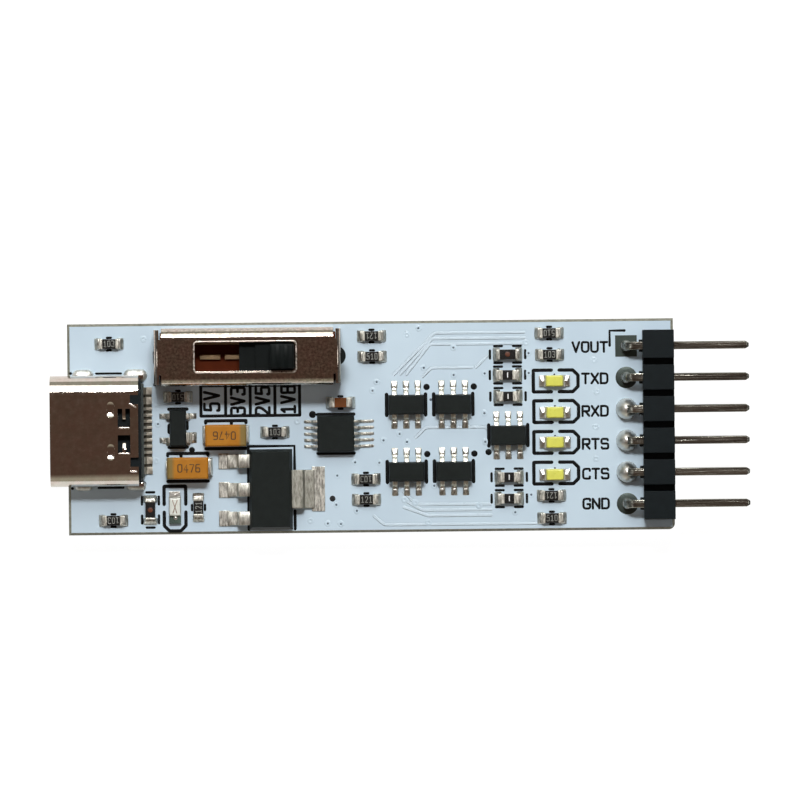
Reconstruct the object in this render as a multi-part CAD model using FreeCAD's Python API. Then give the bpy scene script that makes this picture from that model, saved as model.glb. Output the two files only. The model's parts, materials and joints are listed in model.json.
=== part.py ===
# USB to serial adapter module: a small circuit board with a socket, a slide switch and a pin row.
# Units are millimetres. X runs along the board to the pin tips, Y across it, Z up from the parts' side.
# The module rests on its soldered tails, so Z is 0 at their ends. X and Y are 0 at the middle of
# the whole module, and every place below is given from the middle of the board.
import FreeCAD, Part
import math
import os

V = FreeCAD.Vector
UP = V(0, 0, 1)
quarter_turn = 90.0
half_turn = 180.0

# Board
board_length = 48.8
board_width = 17.0
board_thickness = 1.6
board_edge_bevel = 0.18
board_corner_radius = 0.5
tail_reach = 1.3
spare_hole = (-3.15, -5.75)
spare_hole_radius = 0.2
ring_sides = 10

# Socket: a folded stainless shell round a moulded tongue
socket_y = -0.12
socket_overhang = 1.35
shell_length = 7.1
shell_width = 8.94
shell_height = 3.2
shell_wall = 0.3
shell_seam = 0.08
leg_thickness = 0.3
front_leg_back = 2.6
front_leg_width = 0.9
rear_leg_inset = 0.32
rear_leg_width = 1.4
leg_slot_clearance = 0.15
window_inset = 1.15
window_length = 1.0
window_width = 1.45
window_offset = 1.06
finger_width = 0.25
finger_length = 0.85
finger_drop = 0.4
finger_clearance = 0.1
dimple_inset = 2.22
dimple_length = 0.56
dimple_width = 1.3
dimple_offset = 1.7
dimple_depth = 0.2
notch_depth = 0.65
notch_width = 1.05
notch_offset = 2.66
floor_window_inset = 1.9
tongue_width = 6.7
tongue_thickness = 0.7
tongue_setback = 0.6
tongue_root_length = 1.1
tongue_root_thickness = 1.2
moulding_length = 1.8
moulding_overrun = 0.2
moulding_fit = 0.02
peg_radius = 0.3
peg_length = 0.9
peg_inset = 0.85
peg_side_inset = 1.58
peg_clearance = 0.05
blade_pitch = 0.5
blade_width = 0.25
blade_thickness = 0.12
blade_length = 3.0
blade_setback = 0.45
blade_steps = (-5.5, -2.5, -1.5, -0.5, 0.5, 1.5, 2.5, 5.5)
tail_pitch = 0.5
tail_count = 8
tail_width = 0.26
wide_tail_width = 0.58
wide_tail_offsets = (2.4, 3.2)
tail_exit = 0.5
tail_foot = 0.5
tail_span = 0.85
tail_thickness = 0.15

# Slide switch: a folded can over a phenolic base, with four positions
switch_x = -10.05
switch_y = 5.74
can_offset = 0.2
can_length = 15.0
can_width = 4.65
can_height = 3.7
can_wall = 0.3
can_side_radius = 0.9
can_end_radius = 0.4
can_relief = 0.2
flap_width = 4.4
can_leg_width = 1.0
can_leg_clearance = 0.15
can_opening_length = 8.05
can_opening_width = 2.3
can_opening_radius = 0.3
dent_radius = 0.28
dent_depth = 0.12
dent_height = 0.6
dent_drop = 1.2
base_thickness = 1.25
base_fit = 0.05
base_end_gap = 0.15
throw_pitch = 2.0
throw_count = 4
contact_offset = 0.2
strip_length = 1.66
strip_width = 0.4
strip_height = 0.3
rail_offset = 1.2
rail_overrun = 1.0
rail_pin_offset = 1.0
switch_pin_width = 0.5
switch_pin_clearance = 0.15
wiper_thickness = 0.15
wiper_width = 0.7
wiper_flat = 0.4
wiper_tip_length = 0.2
wiper_tip_lift = 0.12
contact_gap = 0.05
slider_length = 6.9
slider_width = 3.6
slider_thickness = 0.75
slider_step_length = 4.3
slider_step_width = 3.2
slider_step_height = 0.3
slider_top_gap = 0.12
slider_skirt_width = 0.3
slider_skirt_gap = 0.05
knob_length = 1.9
knob_width = 1.95
knob_rise = 1.5
knob_rib_offset = 0.32
knob_rib_width = 0.3
knob_rib_depth = 0.12
knob_edge = 0.12
nose_width = 1.6
nose_height = 0.7
nose_reach = 5.1
nose_clearance = 0.15

# Pin row at the right edge
pin_count = 6
pin_pitch = 2.54
pin_size = 0.64
pin_taper = 0.3
pin_tip_size = 0.32
pin_bend_radius = 0.8
pin_row_y = -0.05
pin_row_inset = 3.8
pin_reach = 6.05
pin_height = 1.27
insulator_length = 2.5
insulator_height = 2.5
insulator_chamfer = 0.26
insulator_groove = 0.6
collar_length = 0.3
collar_size = 1.0
pin_hole_radius = 0.5
pad_radius = 0.87

# The socket's rear and its two sides, from the middle of the board
rear = shell_length - socket_overhang - board_length / 2
upper_side = socket_y + shell_width / 2
lower_side = socket_y - shell_width / 2

# How far the parts near the socket stand behind its rear or beside its shell
guard_behind = 3.12
first_tantalum_behind = 6.97
second_tantalum_behind = 3.89
power_lamp_behind = 2.81
fuse_behind = 0.83
fuse_beside = 1.92
upper_resistor_behind = -2.37
upper_resistor_beside = 2.54
lower_resistor_behind = -2.15
lower_resistor_beside = 2.74
guard_resistor_behind = 3.14
lamp_resistor_behind = 4.7

# Solder
cone_height = 0.45
cone_top_radius = 0.5
cone_drop = 0.5
small_pad_radius = 0.7
leg_pad_margin = 0.35
leg_solder_height = 0.45

# Moulded packages: body length along X, body width along Y, height, and their leads
lead_bury = 0.12
lead_slope = 22.0
body_draft = 0.1
body_standoff = 0.08

regulator_x = -8.1
regulator_y = -4.95
regulator_length = 3.5
regulator_width = 6.5
regulator_height = 1.6
regulator_draft = 0.24
regulator_span = 7.0
regulator_lead_count = 3
regulator_lead_pitch = 2.3
regulator_lead_width = 1.1
regulator_tab_width = 3.1
regulator_lead_thickness = 0.28
regulator_foot = 0.9
regulator_shoulder = 0.75

bridge_x = -2.83
bridge_y = -0.53
bridge_size = 3.0
bridge_height = 0.95
bridge_span = 4.9
bridge_lead_count = 5
bridge_lead_pitch = 0.5
bridge_lead_width = 0.22
bridge_lead_thickness = 0.14
bridge_foot = 0.5
bridge_shoulder = 0.3

gate_places = ((2.85, 1.75), (6.65, 1.75), (2.85, -3.65), (6.65, -3.65), (11.05, -0.8))
gate_length = 2.9
gate_width = 1.6
gate_height = 1.1
gate_span = 2.95
gate_lead_count = 3
gate_lead_pitch = 0.95
gate_lead_width = 0.4
gate_lead_thickness = 0.14
gate_foot = 0.32
gate_shoulder = 0.24

guard_x = rear + guard_behind
guard_y = 0.05
guard_length = 1.35
guard_width = 3.0
guard_height = 1.0
guard_span = 2.4
guard_lead_offset = 0.97
guard_lead_width = 0.45
guard_wide_lead_width = 0.85
guard_lead_thickness = 0.13
guard_foot = 0.26
guard_shoulder = 0.2

# Two moulded tantalum capacitors
tantalum_places = (
    (rear + first_tantalum_behind, -0.58, half_turn), (rear + second_tantalum_behind, -3.18))
tantalum_length = 3.3
tantalum_width = 1.75
tantalum_height = 1.6
tantalum_edge = 0.12
tantalum_waist = 0.75
strap_width = 1.2
strap_thickness = 0.12
strap_foot = 0.8

# Lamps, in the 0603 size
lamp_places = ((14.81, 3.54), (14.83, 1.0), (14.81, -1.4), (14.78, -4.0))
power_lamp_place = (rear + power_lamp_behind, -6.29, quarter_turn)
lamp_length = 1.75
lamp_width = 0.96
lamp_base_height = 0.28
lens_length = 1.5
lens_top_length = 1.38
lens_height = 0.42

# Chips, in the 0603 size
chip_length = 1.6
chip_width = 0.82
chip_proud = 0.03
resistor_height = 0.45
resistor_cap = 0.3
resistor_places = (
    (rear + upper_resistor_behind, upper_side + upper_resistor_beside),
    (rear + guard_resistor_behind, 2.56), (-7.73, -0.34),
    (0.12, 7.31), (0.15, 5.66), (-0.44, -4.2), (-0.42, -5.85),
    (14.42, 7.4), (14.44, 5.67), (14.48, -5.68), (14.5, -7.49),
    (rear + lower_resistor_behind, lower_side - lower_resistor_beside),
    (rear + lamp_resistor_behind, -6.35, quarter_turn))
link_height = 0.5
link_cap = 0.44
link_places = ((11.04, 4.06), (11.06, 2.33), (11.09, -4.17), (11.08, -5.89))
fuse_height = 0.6
fuse_cap = 0.2
fuse_places = ((11.06, 5.72), (rear + fuse_behind, lower_side - fuse_beside, quarter_turn))
ceramic_x = -2.43
ceramic_y = 1.98
ceramic_height = 0.8
ceramic_cap = 0.35

# Worked out from the sizes above
board_x = (socket_overhang - pin_reach) / 2
board_left = board_x - board_length / 2
board_right = board_x + board_length / 2
board_under = tail_reach
board_top = board_under + board_thickness
mouth_x = board_left - socket_overhang
shell_rear = mouth_x + shell_length
pin_row_x = board_right - pin_row_inset
pin_tip_x = board_right + pin_reach
shell_middle = board_top + shell_height / 2
slider_rest = throw_pitch * (throw_count - 1) / 2
slide_travel = throw_pitch * (throw_count - 1)


def block(x, y, z):
    """A box from (low, high) pairs."""
    return Part.makeBox(x[1] - x[0], y[1] - y[0], z[1] - z[0], V(x[0], y[0], z[0]))


def around(middle, size):
    """The (low, high) pair of a size set about its middle."""
    return (middle - size / 2, middle + size / 2)


def on_board(shape, x, y, turn=0.0):
    """A part drawn about 0 on Z = 0, turned and set on the board's upper face."""
    seated = shape.copy()
    seated.rotate(V(0, 0, 0), UP, turn)
    seated.translate(V(board_x + x, y, board_top))
    return seated


def rectangle(length, width, z):
    """The corners of a level rectangle about the Z axis, anticlockwise from above."""
    return [V(sx * length / 2, sy * width / 2, z) for sx, sy in ((-1, -1), (1, -1), (1, 1), (-1, 1))]


def ring(radius, z):
    """The corners of a many-sided ring about the Z axis, anticlockwise from above."""
    turns = [2 * math.pi * (i + 0.5) / ring_sides for i in range(ring_sides)]
    return [V(radius * math.cos(turn), radius * math.sin(turn), z) for turn in turns]


def flat_face(corners):
    """A flat face through a list of corners."""
    return Part.Face(Part.makePolygon(corners + corners[:1]))


def flat_sided(sections):
    """A solid with flat sides through outlines of like corners, from the lowest up."""
    faces = [flat_face(sections[0][::-1]), flat_face(sections[-1])]
    for low, high in zip(sections, sections[1:]):
        faces += [flat_face([low[i - 1], low[i], high[i], high[i - 1]]) for i in range(len(low))]
    return Part.Solid(Part.Shell(faces))


def post(radius, height, foot):
    """An upright round bar in short flat sides, for small forms that repeat."""
    bar = flat_sided([ring(radius, 0), ring(radius, height)])
    bar.translate(foot)
    return bar


def moulded_body(length, width, height, draft, standoff):
    """An epoxy body that tapers both ways from its parting line at mid height."""
    middle = (standoff + height) / 2
    sections = [
        rectangle(length - 2 * draft, width - 2 * draft, standoff),
        rectangle(length, width, middle),
        rectangle(length - 2 * draft, width - 2 * draft, height)]
    return flat_sided(sections)


def strip(path, thickness, width, radius=0.0):
    """Sheet strip of a path in X and Z, bent at each inner point and centred on Y."""
    sides = []
    for offset in (thickness / 2, -thickness / 2):
        edges = []
        start = None
        for i, point in enumerate(path):
            here = V(point[0], 0, point[1])
            before = (here - V(path[i - 1][0], 0, path[i - 1][1])) if i else None
            after = (V(path[i + 1][0], 0, path[i + 1][1]) - here) if i + 1 < len(path) else None
            if before is None or after is None:
                along = after if before is None else before
                end = here + normal(along) * offset
                if start is not None:
                    edges.append(Part.makeLine(start, end))
                start = end
                continue
            turn = math.atan2(before.z, before.x) - math.atan2(after.z, after.x)
            turn = (turn + math.pi) % (2 * math.pi) - math.pi
            set_back = radius * math.tan(abs(turn) / 2)
            if radius > thickness / 2:
                first = here - unit(before) * set_back + normal(before) * offset
                last = here + unit(after) * set_back + normal(after) * offset
                centre = here - unit(before) * set_back - normal(before) * math.copysign(radius, turn)
                middle = centre + unit((first - centre) + (last - centre)) * (first - centre).Length
                edges.append(Part.makeLine(start, first))
                edges.append(Part.Arc(first, middle, last).toShape())
                start = last
            else:
                mitre = unit(normal(before) + normal(after))
                corner = here + mitre * (offset / math.cos(turn / 2))
                edges.append(Part.makeLine(start, corner))
                start = corner
        sides.append((edges, start))
    upper, lower = sides
    first_ends = [edges[0].Vertexes[0].Point for edges, _ in sides]
    caps = [Part.makeLine(upper[1], lower[1]), Part.makeLine(first_ends[1], first_ends[0])]
    outline = Part.Wire(Part.sortEdges(upper[0] + lower[0] + caps)[0])
    sheet = Part.Face(outline)
    sheet.translate(V(0, -width / 2, 0))
    return sheet.extrude(V(0, width, 0))


def unit(vector):
    """The same direction with length 1."""
    return vector * (1 / vector.Length)


def normal(vector):
    """The direction a quarter turn to the left, in the X and Z plane."""
    side = V(-vector.z, 0, vector.x)
    return unit(side)


def gull_lead(root, exit_z, drop, shoulder, reach, foot, thickness, width):
    """A lead whose shoulder leaves a body, steps down and ends in a flat foot on the board."""
    level = thickness / 2
    path = [(root, exit_z), (root + shoulder, exit_z - drop), (reach - foot, level), (reach, level)]
    return strip(path, thickness, width)


def leaded_package(length, width, height, draft, thickness, foot, shoulder, slope, leads):
    """A moulded body and its leads; each lead is (turn, side step, width, reach, root face)."""
    body = moulded_body(length, width, height, draft, body_standoff)
    exit_z = (body_standoff + height) / 2
    run = shoulder + lead_bury
    drop = run * math.tan(math.radians(slope))
    metal = []
    for turn, step, lead_width, reach, face in leads:
        lead = gull_lead(face - lead_bury, exit_z, drop, run, reach, foot, thickness, lead_width)
        lead.translate(V(0, step, 0))
        lead.rotate(V(0, 0, 0), UP, turn)
        metal.append(lead)
    leads_together = Part.makeCompound(metal)
    return body.cut(leads_together), leads_together


def row(count, pitch):
    """Places of a row about its middle."""
    return [(i - (count - 1) / 2) * pitch for i in range(count)]


def pin_row_places():
    """Each pin's Y, from the top of the board down."""
    return [pin_row_y - step for step in row(pin_count, pin_pitch)]


def socket_legs():
    """The four shell legs as (x, width, side)."""
    return [
        (mouth_x + back, width, side)
        for back, width in ((front_leg_back, front_leg_width), (shell_length - rear_leg_inset, rear_leg_width))
        for side in (-1, 1)]


def leg_middle(side):
    """The middle of a shell leg across the board."""
    return socket_y + side * (shell_width - leg_thickness) / 2


def leg_bar(x, width, side):
    """One shell leg, from the shell's side down through the board."""
    return block(around(x, width), around(leg_middle(side), leg_thickness), (0, shell_middle))


def switch_pins():
    """Every switch pin as (x, y): the four throws, then the rail's."""
    strips_x = board_x + switch_x + contact_offset
    throws = [(strips_x + step, switch_y) for step in row(throw_count, throw_pitch)]
    rail_x = board_x + switch_x - slide_travel / 2 - rail_pin_offset
    return throws + [(rail_x, switch_y + rail_offset)]


def can_leg_places():
    """The middles of the two can legs along the board."""
    half = (can_length - can_wall) / 2
    middle = board_x + switch_x + can_offset
    return [middle - half, middle + half]


def circuit_board():
    """Glass-fibre board with scored edges, plated holes and slots."""
    board = block(around(board_x, board_length), around(0, board_width), (board_under, board_top))
    corner = [
        e for e in board.Edges
        if e.BoundBox.ZLength > board_thickness / 2 and e.BoundBox.XMin > board_x and e.BoundBox.YMax < 0]
    board = board.makeFillet(board_corner_radius, corner)
    level_edges = [e for e in board.Edges if e.BoundBox.ZLength < board_thickness / 2]
    board = board.makeChamfer(board_edge_bevel, level_edges)
    holes = []
    for y in pin_row_places():
        holes.append(drill(pin_row_x, y, pin_hole_radius))
    for x, width, side in socket_legs():
        size = leg_thickness + 2 * leg_slot_clearance
        holes.append(slot(x, leg_middle(side), width + 2 * leg_slot_clearance, size))
    for side in (-1, 1):
        holes.append(drill(shell_rear - peg_inset, socket_y + side * peg_offset(), peg_radius + peg_clearance))
    for x, y in switch_pins():
        holes.append(drill(x, y, switch_pin_width / math.sqrt(2) + switch_pin_clearance))
    for x in can_leg_places():
        length = can_leg_width + 2 * can_leg_clearance
        holes.append(slot(x, switch_y, can_wall + 2 * can_leg_clearance, length))
    holes.append(drill(board_x + spare_hole[0], spare_hole[1], spare_hole_radius))
    return board.cut(holes)


def drill(x, y, radius):
    """A hole's cutter through the board."""
    return post(radius, board_thickness, V(x, y, board_under))


def slot(x, y, length, width):
    """A routed slot's cutter through the board, rounded at its ends."""
    return oblong(x, y, length, width, (board_under, board_top))


def stadium(length, width, height, x, middle_z):
    """A bar along X with flat top and bottom and fully rounded sides."""
    radius = height / 2
    run = width / 2 - radius
    bar = block((x, x + length), around(socket_y, 2 * run), around(middle_z, height))
    sides = [
        Part.makeCylinder(radius, length, V(x, socket_y + s * run, middle_z), V(1, 0, 0)) for s in (-1, 1)]
    return bar.fuse(sides).removeSplitter()


def oblong(x, y, length, width, z):
    """An upright bar between two heights, fully rounded at the ends of its longer side."""
    radius = min(length, width) / 2
    run_x = length / 2 - radius
    run_y = width / 2 - radius
    ends = [Part.makeCylinder(radius, z[1] - z[0], V(x + s * run_x, y + s * run_y, z[0])) for s in (-1, 1)]
    bar = block(around(x, 2 * (run_x or radius)), around(y, 2 * (run_y or radius)), z)
    return bar.fuse(ends).removeSplitter()


def usb_shell():
    """Stainless strip folded round a mouth, with windows, dimples and four legs."""
    top = board_top + shell_height
    outer = stadium(shell_length, shell_width, shell_height, mouth_x, shell_middle)
    inner = stadium(
        shell_length, shell_width - 2 * shell_wall, shell_height - 2 * shell_wall, mouth_x, shell_middle)
    legs = [leg_bar(*leg) for leg in socket_legs()]
    cuts = [inner]
    wall = (top - shell_wall, top)
    for side in (-1, 1):
        cuts.append(shell_window(side, wall))
        cuts.append(dimple(side, top))
        cuts.append(block(
            (shell_rear - notch_depth, shell_rear), around(socket_y + side * notch_offset, notch_width), wall))
    floor = (board_top, board_top + shell_wall)
    cuts.append(block(
        (shell_rear - floor_window_inset, shell_rear), around(socket_y, 2 * flat_half()), floor))
    cuts.append(block((mouth_x, shell_rear - floor_window_inset), around(socket_y, shell_seam), floor))
    shell = outer.fuse(legs).cut(cuts)
    return shell.fuse([spring_finger(side, top) for side in (-1, 1)]).removeSplitter()


def shell_window(side, level):
    """The space of one of the shell's upper windows between two heights."""
    middle = socket_y + side * window_offset
    return block(around(shell_rear - window_inset, window_length), around(middle, window_width), level)


def spring_finger(side, top):
    """The finger that bends down from the outer side of a window."""
    root = socket_y + side * (window_offset + window_width / 2)
    tip = root - side * finger_length
    low = top - finger_drop
    outline = [(root, top), (tip, low), (tip, low - shell_wall), (root, top - shell_wall)]
    x = shell_rear - window_inset - finger_width / 2
    return flat_face([V(x, y, z) for y, z in outline]).extrude(V(finger_width, 0, 0))


def dimple(side, top):
    """The cutter of a dimple, hollow from side to side."""
    x, y = shell_rear - dimple_inset, socket_y + side * dimple_offset
    radius = (dimple_width ** 2 / 4 + dimple_depth ** 2) / (2 * dimple_depth)
    start = V(x - dimple_length / 2, y, top + radius - dimple_depth)
    hollow = Part.makeCylinder(radius, dimple_length, start, V(1, 0, 0))
    return oblong(x, y, dimple_length, dimple_width, (top - dimple_depth, top)).common(hollow)


def flat_half():
    """Half the width of the shell's flat floor."""
    return (shell_width - shell_height) / 2


def peg_offset():
    """How far each peg stands from the socket's middle line."""
    return shell_width / 2 - peg_side_inset


def blade_places():
    """Each contact blade on the tongue as (y, side), side 1 on top and -1 below."""
    return [(socket_y + step * blade_pitch, side) for side in (-1, 1) for step in blade_steps]


def contact_blades():
    """The blades laid in the tongue's upper and lower faces."""
    start = mouth_x + tongue_setback + blade_setback
    blades = []
    for y, side in blade_places():
        face = shell_middle + side * tongue_thickness / 2
        level = (face - blade_thickness, face) if side > 0 else (face, face + blade_thickness)
        blades.append(block((start, start + blade_length), around(y, blade_width), level))
    return blades


def usb_tongue():
    """The moulded tongue with its root, its rear block and two pegs in the board."""
    fit = moulding_fit
    front = shell_rear - moulding_length
    rear = shell_rear + moulding_overrun
    inner_width = shell_width - 2 * (shell_wall + fit)
    inner_height = shell_height - 2 * (shell_wall + fit)
    rear_block = stadium(rear - front, inner_width, inner_height, front, shell_middle)
    window_front = shell_rear - floor_window_inset + fit
    foot = block(
        (max(front, window_front), rear), around(socket_y, 2 * (flat_half() - fit)),
        (board_top, board_top + shell_wall + 2 * fit))
    root = block(
        (front - tongue_root_length, front), around(socket_y, tongue_width),
        around(shell_middle, tongue_root_thickness))
    tongue = block(
        (mouth_x + tongue_setback, front), around(socket_y, tongue_width),
        around(shell_middle, tongue_thickness))
    pegs = [
        Part.makeCylinder(peg_radius, peg_length, V(
            shell_rear - peg_inset, socket_y + s * peg_offset(), board_top - peg_length)) for s in (-1, 1)]
    moulding = rear_block.fuse([foot, root, tongue] + pegs).removeSplitter()
    top = board_top + shell_height
    pocket_floor = top - shell_wall - finger_drop - finger_clearance
    pockets = [shell_window(side, (pocket_floor, top)) for side in (-1, 1)]
    return moulding.cut(contact_blades() + solder_tails() + pockets).removeSplitter()


def solder_tails():
    """The row of twelve solder tails behind the socket, the outer four wide."""
    rear = shell_length + moulding_overrun
    tails = [(step, tail_width) for step in row(tail_count, tail_pitch)]
    tails += [(s * side, wide_tail_width) for side in wide_tail_offsets for s in (-1, 1)]
    metal = []
    for y, width in tails:
        tail = gull_lead(
            rear - lead_bury, tail_exit, 0.0, lead_bury + tail_thickness, rear + tail_span, tail_foot,
            tail_thickness, width)
        tail.translate(V(mouth_x, socket_y + y, board_top))
        metal.append(tail)
    return metal


def usb_contacts():
    """Blades on the tongue and the tails behind it."""
    return Part.makeCompound(contact_blades() + solder_tails())


def switch_frame(shape):
    """A switch part drawn about 0 on Z = 0, set in its place."""
    return on_board(shape, switch_x, switch_y)


def can_section(width, height, radius, length):
    """A channel's outline with two rounded upper edges, extruded along X."""
    bar = block(around(0, length), around(0, width), (0, height))
    edges = [e for e in bar.Edges if e.BoundBox.XLength > length / 2 and e.BoundBox.ZMin > height / 2]
    return bar.makeFillet(radius, edges)


def switch_cover():
    """One steel blank folded into a can: long sides, end flaps, a slot and two legs."""
    channel_length = can_length - 2 * (can_end_radius + can_relief)
    channel = can_section(can_width, can_height, can_side_radius, channel_length)
    hollow = can_section(
        can_width - 2 * can_wall, can_height - can_wall, can_side_radius - can_wall, can_length)
    channel = channel.cut(hollow)
    half = can_length / 2 - can_wall / 2
    level = can_height - can_wall / 2
    flap = strip(
        [(0, level), (half, level), (half, 0)], can_wall, flap_width, can_end_radius - can_wall / 2)
    window = block(
        (half - can_wall, half + can_wall), around(0, nose_width + 2 * nose_clearance),
        around(nose_level(), nose_height + 2 * nose_clearance))
    leg = block(around(half, can_wall), around(0, can_leg_width), (-board_top, 0))
    end = flap.cut(window).fuse(leg)
    side = channel_length / 2
    neck = block((side - can_wall, can_length), around(0, can_width - 2 * can_side_radius), (0, can_height))
    bend = block((side + can_relief, can_length), around(0, can_width), (-board_top, can_height))
    end = end.common(neck.fuse(bend))
    other_end = end.copy()
    other_end.rotate(V(0, 0, 0), UP, half_turn)
    opening = block(
        around(0, can_opening_length), around(0, can_opening_width), (can_height - can_wall, can_height))
    corners = [e for e in opening.Edges if e.BoundBox.ZLength > can_wall / 2]
    opening = opening.makeFillet(can_opening_radius, corners)
    can = channel.fuse([end, other_end])
    can.translate(V(can_offset, 0, 0))
    can = can.cut(opening)
    dents = []
    bumps = []
    foot = can_height - dent_drop - dent_height
    for step in row(throw_count, throw_pitch):
        outside = V(step, can_width / 2 + dent_radius - dent_depth, foot)
        inside = outside - V(0, can_wall, 0)
        dents.append(post(dent_radius, dent_height, outside))
        bumps.append(post(dent_radius, dent_height, inside))
    wall = block(
        around(0, can_length), (can_width / 2 - 2 * can_wall, can_width / 2 - can_wall), (0, can_height))
    bumps = [bump.common(wall) for bump in bumps]
    return switch_frame(can.fuse(bumps).cut(dents).removeSplitter())


def nose_level():
    """The height of the slider's nose above the board."""
    return slider_floor() + slider_thickness / 2


def slider_floor():
    """The underside of the slider's plate above the board."""
    return can_height - can_wall - slider_top_gap - slider_step_height - slider_thickness


def strip_top():
    """The upper face of the fixed contacts above the board."""
    return base_thickness + strip_height


def fixed_contacts():
    """Four throw strips and the common rail, each with its pin down through the board."""
    contacts = []
    for step in row(throw_count, throw_pitch):
        x = contact_offset + step
        head = block(around(x, strip_length), around(0, strip_width), (base_thickness, strip_top()))
        pin = block(around(x, switch_pin_width), around(0, strip_width), (-board_top, base_thickness))
        contacts.append(head.fuse(pin))
    rail_length = slide_travel + 2 * (rail_overrun + rail_pin_offset)
    rail = block(around(0, rail_length), around(rail_offset, strip_width), (base_thickness, strip_top()))
    pin_x = -slide_travel / 2 - rail_pin_offset
    pin = block(around(pin_x, switch_pin_width), around(rail_offset, strip_width), (-board_top, base_thickness))
    contacts.append(rail.fuse(pin))
    return contacts


def switch_contacts():
    """The fixed contacts, set in place."""
    return switch_frame(Part.makeCompound(fixed_contacts()))


def switch_base():
    """The phenolic base that closes the can and holds the fixed contacts."""
    inner = can_wall + base_fit
    plate = block(
        around(can_offset, can_length - 2 * (can_wall + base_end_gap)), around(0, can_width - 2 * inner),
        (0, base_thickness))
    return switch_frame(plate.cut(fixed_contacts()))


def switch_slider():
    """Black moulded slider: a stepped plate, a ribbed knob and a round nose at its right end."""
    floor = slider_floor()
    plate = block(around(0, slider_length), around(0, slider_width), (floor, floor + slider_thickness))
    step = block(
        around(0, slider_step_length), around(0, slider_step_width),
        (floor + slider_thickness, floor + slider_thickness + slider_step_height))
    knob_foot = floor + slider_thickness + slider_step_height
    knob_top = can_height + knob_rise
    knob = block(around(0, knob_length), around(0, knob_width), (knob_foot, knob_top))
    edges = [e for e in knob.Edges if e.BoundBox.ZMin > knob_top - knob_edge]
    knob = knob.makeChamfer(knob_edge, edges)
    skirt_y = (slider_width - slider_skirt_width) / 2
    skirts = [
        block(around(0, slider_length), around(s * skirt_y, slider_skirt_width), (
            base_thickness + slider_skirt_gap, floor)) for s in (-1, 1)]
    grooves = [
        block(around(s * knob_rib_offset, knob_rib_width), around(0, knob_width), (
            knob_top - knob_rib_depth, knob_top)) for s in (-1, 1)]
    nose_z = (nose_level() - nose_height / 2, nose_level() + nose_height / 2)
    nose_end = nose_reach - nose_width / 2
    nose = block((0, nose_end), around(0, nose_width), nose_z)
    tip = Part.makeCylinder(nose_width / 2, nose_height, V(nose_end, 0, nose_z[0]))
    slider = plate.fuse([step, knob, nose, tip] + skirts).cut(grooves).removeSplitter()
    slider.translate(V(slider_rest, 0, 0))
    return switch_frame(slider)


def switch_wiper():
    """The bridging spring under the slider, which joins the rail to one throw strip."""
    touch = strip_top() + contact_gap + wiper_thickness / 2
    rest = slider_floor() - wiper_thickness / 2
    limb = rail_offset / 2
    right = [(wiper_flat / 2, rest), (limb, touch), (limb + wiper_tip_length, touch + wiper_tip_lift)]
    path = [(-x, z) for x, z in reversed(right)] + right
    spring = strip(path, wiper_thickness, wiper_width)
    spring.rotate(V(0, 0, 0), UP, quarter_turn)
    spring.translate(V(slider_rest, rail_offset / 2, 0))
    return switch_frame(spring)


def insulator_cell():
    """One cell of the pin row's insulator: bevelled below, with half a break-off groove at each side."""
    half_y = pin_pitch / 2
    cut = insulator_chamfer
    low, high = board_top, board_top + insulator_height
    groove = high - insulator_groove
    outline = [
        (-half_y, low + cut), (-half_y + cut, low), (half_y - cut, low), (half_y, low + cut),
        (half_y, groove), (half_y - cut, groove), (half_y - cut, high),
        (-half_y + cut, high), (-half_y + cut, groove), (-half_y, groove)]
    points = [V(board_right - insulator_length, y, z) for y, z in outline]
    return flat_face(points).extrude(V(insulator_length, 0, 0))


def header_insulator():
    """The black six-way insulator: square at both ends, with a low collar round each pin's back."""
    cell = insulator_cell()
    level = board_top + pin_height
    collar = block(
        (board_right - insulator_length - collar_length, board_right - insulator_length),
        around(0, collar_size), (level - collar_size / 2, level))
    unit_cell = cell.fuse(collar)
    cells = []
    for y in pin_row_places():
        copy = unit_cell.copy()
        copy.translate(V(0, y, 0))
        cells.append(copy)
    end = pin_count * pin_pitch / 2
    for low, high in ((-end, insulator_chamfer - end), (end - insulator_chamfer, end)):
        cells.append(block(
            (board_right - insulator_length, board_right), (pin_row_y + low, pin_row_y + high),
            (board_top, board_top + insulator_height)))
    body = cells[0].fuse(cells[1:]).removeSplitter()
    return body.cut([pin_at(y) for y in pin_row_places()])


def pin_at(y):
    """One square pin: tapered tip, straight run through the insulator, bend, tail."""
    level = board_top + pin_height
    bar = strip(
        [(pin_tip_x, level), (pin_row_x, level), (pin_row_x, 0)], pin_size, pin_size, pin_bend_radius)
    long_x = pin_tip_x - pin_row_x
    tip = flat_sided([
        rectangle(pin_size, pin_size, 0), rectangle(pin_size, pin_size, long_x - pin_taper),
        rectangle(pin_tip_size, pin_tip_size, long_x)])
    tip.rotate(V(0, 0, 0), V(0, 1, 0), quarter_turn)
    tip.translate(V(pin_row_x, 0, level))
    shape = bar.common(tip.fuse(block(
        (pin_row_x - pin_size, pin_row_x + pin_bend_radius + pin_size), around(0, pin_size),
        (0, level + pin_size))))
    shape = shape.removeSplitter()
    shape.translate(V(0, y, 0))
    return shape


def solder_cone(x, y, radius, upward):
    """A cone of solder on a round pad, on the upper or lower face."""
    cone = flat_sided([ring(radius, 0), ring(cone_top_radius, cone_height if upward else cone_drop)])
    return on_face(cone, x, y, upward)


def on_face(shape, x, y, upward):
    """A shape drawn on Z = 0, set on the board's upper face or hung from its lower one."""
    if upward:
        shape.translate(V(x, y, board_top))
    else:
        shape.rotate(V(0, 0, 0), V(1, 0, 0), half_turn)
        shape.translate(V(x, y, board_under))
    return shape


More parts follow.
